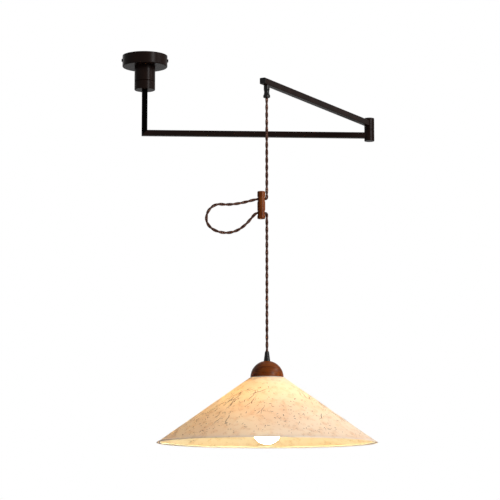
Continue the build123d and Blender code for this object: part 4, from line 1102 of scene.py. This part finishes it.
@dataclass
class HangingCord:
    """The cord from the arm's gland through the wooden toggle to the shade, with its spare loop."""

    mouth_z: float = -179.95 * MM
    upper_hole_z: float = -388.45 * MM
    lower_hole_z: float = -416.45 * MM
    relief_top_z: float = -696.0 * MM
    end_z: float = -733.4 * MM
    toggle_far_side: float = -19.1 * MM
    # Where the route's points lie as the cord turns into a hole: along the cord, then into the hole
    turn_along: tuple[float, ...] = (40.0 * MM, 12.0 * MM, 2.0 * MM)
    turn_across: tuple[float, ...] = (-4.0 * MM, -12.0 * MM)
    # The loop's points, across from the cord's axis and up from the upper hole, in millimetres
    loop_shape: tuple[tuple[float, float], ...] = (
        (-23.0, -0.6),
        (-36.0, -4.2),
        (-55.0, -9.0),
        (-80.0, -12.0),
        (-102.0, -10.0),
        (-118.0, -22.5),
        (-123.0, -41.5),
        (-116.5, -56.5),
        (-101.0, -66.5),
        (-79.0, -70.0),
        (-58.0, -64.0),
        (-42.0, -51.5),
        (-32.5, -40.5),
        (-23.5, -29.5),
    )
    upper_length: float = 225.0 * MM
    loop_length: float = 255.0 * MM
    lower_length: float = 333.5 * MM
    # The upper run's two turn points lie this far above and below the gland's mouth
    bend_half: float = 18.0 * MM
    # The loop's second turn point lies this far across from the cord's axis
    feed_reach: float = -150.0 * MM
    # The lower run's first turn point lies this far below its hole
    draw_drop: float = 8.0 * MM
    axis_x: float = field(init=False)
    axis_y: float = field(init=False)

    def __post_init__(self) -> None:
        """Find the cord's axis under the gland."""
        self.axis_x, self.axis_y = middle("shade_cap")

    def at(self, across: float, z: float) -> Vector:
        """Return a point in the loop's plane, measured from the cord's axis."""
        return Vector((self.axis_x + across, self.axis_y, z))

    def turn_into(self, hole_z: float, way: int) -> list[Vector]:
        """Route the cord's turn from its straight run into one of the toggle's holes.

        Args:
            hole_z: The hole's height.
            way: 1 where the straight run lies above the hole, and -1 where it lies below.

        Returns:
            The points from the straight run to the toggle's far side.
        """
        return [
            *(self.at(0.0, hole_z + way * along) for along in self.turn_along),
            *(self.at(across, hole_z) for across in self.turn_across),
            self.at(self.toggle_far_side, hole_z),
        ]

    def upper(self) -> TwistedCord:
        """Route the cord from the gland down into the toggle's upper hole.

        Returns:
            The upper run.
        """
        return TwistedCord(
            name="textile_cord_upper",
            node="cord_upper",
            route=[self.at(0.0, self.mouth_z), *self.turn_into(self.upper_hole_z, 1)],
            length=self.upper_length,
            bodies=(Body.CORD_GRIP, Body.HANGING_CORD),
            turn_from=self.at(0.0, self.mouth_z + self.bend_half),
            turn_to=self.at(0.0, self.mouth_z - self.bend_half),
            lay="hanging",
            fineness=90,
            pieces=("cord_toggle",),
        )

    def loop(self) -> TwistedCord:
        """Route the spare loop beside the toggle, from the upper hole round to the lower one.

        Returns:
            The loop.
        """
        far = self.toggle_far_side
        halfway_z = (self.upper_hole_z + self.lower_hole_z) / 2
        return TwistedCord(
            name="textile_cord_loop",
            node="cord_loop",
            route=[
                self.at(far, self.upper_hole_z),
                *(self.at(across * MM, self.upper_hole_z + up * MM) for across, up in self.loop_shape),
                self.at(far, self.lower_hole_z),
            ],
            length=self.loop_length,
            bodies=(Body.HANGING_CORD, Body.CORD_FEED),
            turn_from=self.at(far, halfway_z),
            turn_to=self.at(self.feed_reach, halfway_z),
            lay="hanging",
            fineness=12,
        )

    def lower(self) -> TwistedCord:
        """Route the cord from the toggle's lower hole down into the shade's cap.

        Returns:
            The lower run.
        """
        return TwistedCord(
            name="textile_cord_lower",
            node="cord_lower",
            route=[*reversed(self.turn_into(self.lower_hole_z, -1)), self.at(0.0, self.end_z)],
            length=self.lower_length,
            bodies=(Body.HANGING_CORD, Body.PENDANT),
            turn_from=self.at(0.0, self.lower_hole_z - self.draw_drop),
            turn_to=self.at(0.0, self.relief_top_z),
            lay="taut",
            fineness=140,
        )

    def dress(self) -> None:
        """Build the three runs and finish the toggle that holds them."""
        for cord in (self.upper(), self.loop(), self.lower()):
            cord.build()
        coat(TOGGLE_WOOD, "cord_toggle")


@dataclass
class PaperShade:
    """The paper cone with its hem, glued lap and bark scraps, and its cap, plate and rim wire."""

    top_radius: float = 35.2 * MM
    top_gap: float = 0.2 * MM
    thickness: float = 1.0 * MM
    segments: int = 320
    rings: int = 40
    # The sheet's two ends meet at the back
    seam_angle: float = math.pi / 2

    # The paper's slow waves: their depth and width, and how their finer layers are made
    crinkle: float = 0.35 * MM
    crinkle_width: float = 26.0 * MM
    crinkle_smoothness: float = 0.9
    crinkle_fineness: float = 2.1
    crinkle_layers: int = 3
    crinkle_middle: float = 0.4

    # The hem's section, in millimetres down the slope and outward from its start, rim and inner edge
    hem_height: float = 3.5 * MM
    hem_thickness: float = 0.5 * MM
    hem_start: tuple[tuple[float, float], ...] = ((0.3, -0.1), (0.8, 0.0))
    hem_rim: tuple[tuple[float, float], ...] = ((-1.6, 0.0), (-1.0, -0.15), (-0.9, -0.6))
    hem_inside: tuple[tuple[float, float], ...] = ((0.5, 0.3), (-0.2, 0.0))

    lap_start: float = 2.0 * MM
    lap_width: float = 9.0 * MM
    lap_lift: float = 0.35 * MM

    # Bark: flecks and short scraps lie all over, within two bare margins
    scrap_lift: float = 0.12 * MM
    scrap_step: float = 2.0 * MM
    scrap_curl: float = 0.2
    flecks: int = 620
    fleck_length: float = 3.4 * MM
    short_scraps: int = 260
    short_length: float = 8.0 * MM
    shortest_share: float = 1 / 3
    widths_mm: tuple[float, float] = (0.7, 1.7)
    bare_top: float = 10.0 * MM
    bare_rim: float = 16.0 * MM

    # Long scraps lie in drifts round these angles, a third of a turn apart or so
    drift_angles: tuple[float, ...] = (-2.2, -0.2, 1.7)
    drift_spread: float = 0.32
    drift_heading: float = -0.4
    drift_turn: float = 0.28
    drift_scraps: int = 32
    drift_band: tuple[float, float] = (0.15, 0.72)
    drift_lengths_mm: tuple[float, float] = (9.0, 46.0)
    drift_widths_mm: tuple[float, float] = (0.8, 1.5)
    seed: int = 11

    axis_x: float = field(init=False)
    axis_y: float = field(init=False)
    top_z: float = field(init=False)
    spread: float = field(init=False)
    fall: float = field(init=False)
    slant: float = field(init=False)
    hem_along: float = field(init=False)

    def __post_init__(self) -> None:
        """Find the cone's place and slope from its CAD box."""
        low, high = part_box("shade_paper")
        self.axis_x, self.axis_y = middle("shade_paper")
        self.top_z = high[2]
        self.spread = (high[0] - low[0]) / 2 - self.top_radius
        self.fall = high[2] - low[2]
        self.slant = math.hypot(self.spread, self.fall)
        self.hem_along = self.slant * (1 - self.hem_height / self.fall)

    def radius(self, along: float) -> float:
        """Return the cone's radius at a distance down the slope."""
        return self.top_radius + along * self.spread / self.slant

    def on_cone(self, along: float, angle: float, lift: float) -> Vector:
        """Find a point on or near the crinkled cone.

        Args:
            along: The distance down the slope from the top edge.
            angle: The angle round the shade's axis.
            lift: The distance outward from the hem's outer face.

        Returns:
            The point.
        """
        plain = Vector((along * math.cos(angle), along * math.sin(angle), 0)) / self.crinkle_width
        wave = noise.fractal(plain, self.crinkle_smoothness, self.crinkle_fineness, self.crinkle_layers)
        lift += self.crinkle * (wave - self.crinkle_middle)
        radius = self.top_radius + (along * self.spread + lift * self.fall) / self.slant
        x = self.axis_x + radius * math.cos(angle)
        y = self.axis_y + radius * math.sin(angle)
        z = self.top_z + (lift * self.spread - along * self.fall) / self.slant
        return Vector((x, y, z))

    def flat(self, along: float, angle: float) -> tuple[float, float]:
        """Find where a point lies on the unrolled sheet.

        Args:
            along: The distance down the slope from the top edge.
            angle: The angle round the shade's axis, from the sheet's middle.

        Returns:
            The place on the flat sheet in metres.
        """
        reach = along + self.top_radius * self.slant / self.spread
        turn = angle * self.spread / self.slant
        return reach * math.cos(turn), reach * math.sin(turn)

    def hem(self) -> list[tuple[float, float]]:
        """Draw the hem's cross-section, from its start round the rim to the inside.

        Returns:
            The distance down the slope and the lift of each point.
        """
        lip = self.thickness + self.hem_thickness
        edge = self.slant - lip * self.spread / self.fall
        return [
            *((self.hem_along + along * MM, lift * MM) for along, lift in self.hem_start),
            *((self.slant + along * MM, lift * MM) for along, lift in self.hem_rim),
            *((edge + along * MM, lift * MM - lip) for along, lift in self.hem_inside),
        ]

    def section(self) -> list[tuple[float, float]]:
        """Draw the paper's cross-section, down the outside, round the hem and up the inside.

        Returns:
            The distance down the slope and the lift of each point.
        """
        step = self.hem_along / self.rings
        downward = [max(index * step, self.top_gap) for index in range(self.rings + 1)]
        # The top edge lies level, so the outer face starts a little lower than the inner one
        top_lean = self.thickness * self.spread / self.fall
        lip = self.thickness + self.hem_thickness
        outside = [(along, -self.hem_thickness) for along in downward]
        inside = [(along - top_lean * along / self.hem_along, -lip) for along in reversed(downward)]
        return outside + self.hem() + inside

    def build_paper(self) -> None:
        """Turn the section round the axis as one closed sheet, and fold its hem."""
        section = self.section()
        count = len(section)
        points = []
        for turn in range(self.segments):
            angle = self.seam_angle + math.tau * turn / self.segments
            points += [self.on_cone(along, angle, lift) for along, lift in section]

        def unrolled(turn: int, index: int) -> tuple[float, float]:
            """Return where a corner of the section lies on the flat sheet."""
            return self.flat(section[index % count][0], math.tau * turn / self.segments - math.pi)

        parts = MeshParts()
        parts.add_grid(points, count, ring=True, tube=True, wrap=unrolled)
        paper = parts.piece("fibre_paper_shade", PAPER)
        paper.data.materials.append(HEM_PAPER.material())
        hem_end = self.rings + len(self.hem())
        for number, face in enumerate(paper.data.polygons):
            if self.rings <= number % count < hem_end:
                face.material_index = 1
        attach(paper, Body.PENDANT.value)
        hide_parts("shade_paper")

    def build_lap(self) -> None:
        """Lay the glued lap, where the rolled sheet's ends meet, down the back of the shade."""
        low, high = -self.hem_thickness, self.lap_lift - self.hem_thickness
        section = [(0.0, low), (0.0, high), (self.lap_width, high), (self.lap_width, low)]
        count = len(section)
        points = []
        places = []
        for ring in range(self.rings + 1):
            along = max(self.hem_along * ring / self.rings, self.lap_start)
            for across, lift in section:
                turn = across / self.radius(along)
                points.append(self.on_cone(along, self.seam_angle + turn, lift))
                places.append(self.flat(along, turn - math.pi))
        parts = MeshParts()
        parts.add_grid(points, count, wrap=lambda ring, corner: places[ring * count + corner])
        lap = parts.piece("glued_paper_lap", LAP_PAPER)
        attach(lap, Body.PENDANT.value)

    def add_scrap(
        self,
        chance: random.Random,
        place: tuple[float, float, float],
        size: tuple[float, float],
        parts: MeshParts,
    ) -> None:
        """Lay one curling scrap of bark on the paper.

        Args:
            chance: The source of the scrap's curl.
            place: Its start down the slope, its angle round the shade and its turn from straight down.
            size: Its length and width.
            parts: The scraps' mesh, added to.
        """
        along, angle, main_heading = place
        heading = main_heading
        length, width = size
        steps = max(2, round(length / self.scrap_step))
        points = []
        for step in range(steps + 1):
            radius = self.radius(along)
            half = width / 2 * math.sin(math.pi * (step + 0.5) / (steps + 1))
            for side in (-half, half):
                across = angle + side * math.cos(heading) / radius
                down = along - side * math.sin(heading)
                points.append(self.on_cone(down, across, self.scrap_lift - self.hem_thickness))
            heading += chance.gauss((main_heading - heading) / 4, self.scrap_curl)
            along += math.cos(heading) * length / steps
            angle += math.sin(heading) * length / steps / radius
        parts.add_grid(points, across=2)

    def build_scraps(self) -> None:
        """Scatter short scraps all over the paper and long ones in drifts."""
        chance = random.Random(self.seed)
        parts = MeshParts()
        low, high = self.bare_top, self.slant - self.bare_rim
        for number in range(self.flecks + self.short_scraps):
            longest = self.fleck_length if number < self.flecks else self.short_length
            # The root spreads the scraps evenly over a cone that widens downward
            along = low + (high - low) * math.sqrt(chance.random())
            place = (along, chance.uniform(0, math.tau), chance.uniform(0, math.pi))
            length = chance.uniform(longest * self.shortest_share, longest)
            width = chance.uniform(*self.widths_mm) * MM
            self.add_scrap(chance, place, (length, width), parts)
        for drift in self.drift_angles:
            for _ in range(self.drift_scraps):
                along = low + (high - low) * chance.uniform(*self.drift_band)
                angle = chance.gauss(drift, self.drift_spread)
                place = (along, angle, chance.gauss(self.drift_heading, self.drift_turn))
                length = chance.uniform(*self.drift_lengths_mm) * MM
                width = chance.uniform(*self.drift_widths_mm) * MM
                self.add_scrap(chance, place, (length, width), parts)
        scraps = parts.piece("bark_scraps_in_paper", BARK)
        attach(scraps, Body.PENDANT.value)

    def dress(self) -> None:
        """Build the paper, its lap and its scraps, and finish the pieces that carry it."""
        self.build_paper()
        self.build_lap()
        self.build_scraps()
        coat(CAP_WOOD, "shade_cap")
        coat(BLACK_NYLON, "strain_relief")
        coat(WHITE_PAINT, "shade_plate", "shade_rim_wire")


@dataclass
class LampHolder:
    """The screw lamp holder under the cap, with its lit bulb."""

    glass: str = "#f6f1e6"
    glow: str = "#fff3b2"
    glow_strength: float = 75.0
    moulded: tuple[str, ...] = ("holder_cap", "holder_sleeve", "shade_ring")

    def dress(self) -> None:
        """Light the bulb and finish the holder."""
        low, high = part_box("bulb_globe")
        lit_glass = LitOpalGlass(
            "lit_opal_glass", self.glass, self.glow, self.glow_strength, neck_z=high[2], bottom_z=low[2]
        )
        coat(lit_glass, "bulb_globe")
        coat(ALUMINIUM, "bulb_base")
        coat(BRASS, "holder_shell", "holder_contact")
        coat(PORCELAIN, "holder_core")
        coat(PHENOLIC, *self.moulded)
        coat(ZINC, "holder_nipple")


@dataclass(frozen=True)
class SoftLamp:
    """A softbox: its name, its place, width and height in metres, and its power in watts."""

    name: str
    place: tuple[float, float, float]
    size: tuple[float, float]
    power: float

    def build(self, aim: Vector) -> None:
        """Hang the lamp so that it faces a point.

        Args:
            aim: The point, in metres.
        """
        lamp = bpy.data.lights.new(self.name, "AREA")
        lamp.shape = "RECTANGLE"
        lamp.size, lamp.size_y = self.size
        lamp.energy = self.power
        holder = show(self.name, lamp)
        holder.location = self.place
        holder.rotation_euler = (aim - Vector(self.place)).to_track_quat("-Z", "Y").to_euler()
        LOG.info("%s: %.0f W", self.name, self.power)


@dataclass
class Studio:
    """The pale floor, soft lamps, white surround and the camera."""

    image_pixels: float = 500.0
    focal_pixels: float = 2106.8
    sensor_mm: float = 36.0
    # The camera stands where the photograph's outline puts it
    camera_place: tuple[float, float, float] = (-26.855 * MM, -4584.643 * MM, -1087.789 * MM)
    camera_pitch_deg: float = 98.109
    camera_turn_deg: float = -3.256
    camera_reach: float = 100.0
    floor_z: float = -2400 * MM
    floor_size: float = 40.0
    ambient: float = 0.09
    lamp_aim: tuple[float, float, float] = (0.25, -0.3, -0.5)
    lamps: tuple[SoftLamp, ...] = (
        SoftLamp("key_softbox", (2.3, -2.6, 0.4), (0.7, 1.3), 70.0),
        SoftLamp("side_softbox", (2.7, -0.6, 1.3), (1.0, 1.0), 36.0),
        SoftLamp("back_softbox", (-1.6, 3.0, 0.6), (2.0, 2.0), 11.0),
        SoftLamp("top_softbox", (0.3, 0.6, 2.0), (2.0, 2.0), 6.0),
    )

    def build_camera(self) -> None:
        """Set up the camera, whose lens gives the photograph's frame."""
        lens = bpy.data.cameras.new("camera")
        lens.sensor_width = self.sensor_mm
        lens.lens = self.sensor_mm * self.focal_pixels / self.image_pixels
        lens.clip_end = self.camera_reach
        camera = show("camera", lens)
        camera.location = self.camera_place
        pitch, turn = math.radians(self.camera_pitch_deg), math.radians(self.camera_turn_deg)
        camera.rotation_euler = (pitch, 0.0, turn)
        bpy.context.scene.camera = camera
        LOG.info("camera: %.0f mm lens", lens.lens)

    def build_floor(self) -> None:
        """Lay the pale floor below the pendant."""
        half = self.floor_size / 2
        sides = ((-half, -half), (half, -half), (half, half), (-half, half))
        corners = [Vector((x, y, self.floor_z)) for x, y in sides]
        MeshParts(corners, [(0, 1, 2, 3)]).piece("floor", FLOOR_PLASTER)

    def build_surround(self) -> None:
        """Light the room evenly, and show it white to the camera and in gloss and glass."""
        world = bpy.data.worlds.new("white_surround")
        world.use_nodes = True
        tree = world.node_tree
        tree.nodes.clear()
        strength = add_node(
            tree, "MapRange", {"Value": shown_ray(tree), "To Min": self.ambient, "To Max": 1.0}
        ).outputs["Result"]
        sky = add_node(tree, "Background", {"Color": WHITE, "Strength": strength})
        add_node(tree, "OutputWorld", {"Surface": sky.outputs["Background"]})
        bpy.context.scene.world = world
        LOG.info("white_surround: lights the room by %.2f", self.ambient)

    def build(self) -> None:
        """Set up the camera, the room and the lamps."""
        bpy.context.scene.view_settings.view_transform = "Standard"
        self.build_camera()
        self.build_floor()
        self.build_surround()
        for lamp in self.lamps:
            lamp.build(Vector(self.lamp_aim))


def main() -> None:
    """Build and dress every sub-assembly in order."""
    logging.basicConfig(level=logging.INFO, format="%(name)s %(message)s")
    Studio().build()
    CeilingMount().dress()
    SwingArms().dress()
    HangingCord().dress()
    PaperShade().dress()
    LampHolder().dress()


if __name__ == "__main__":
    main()
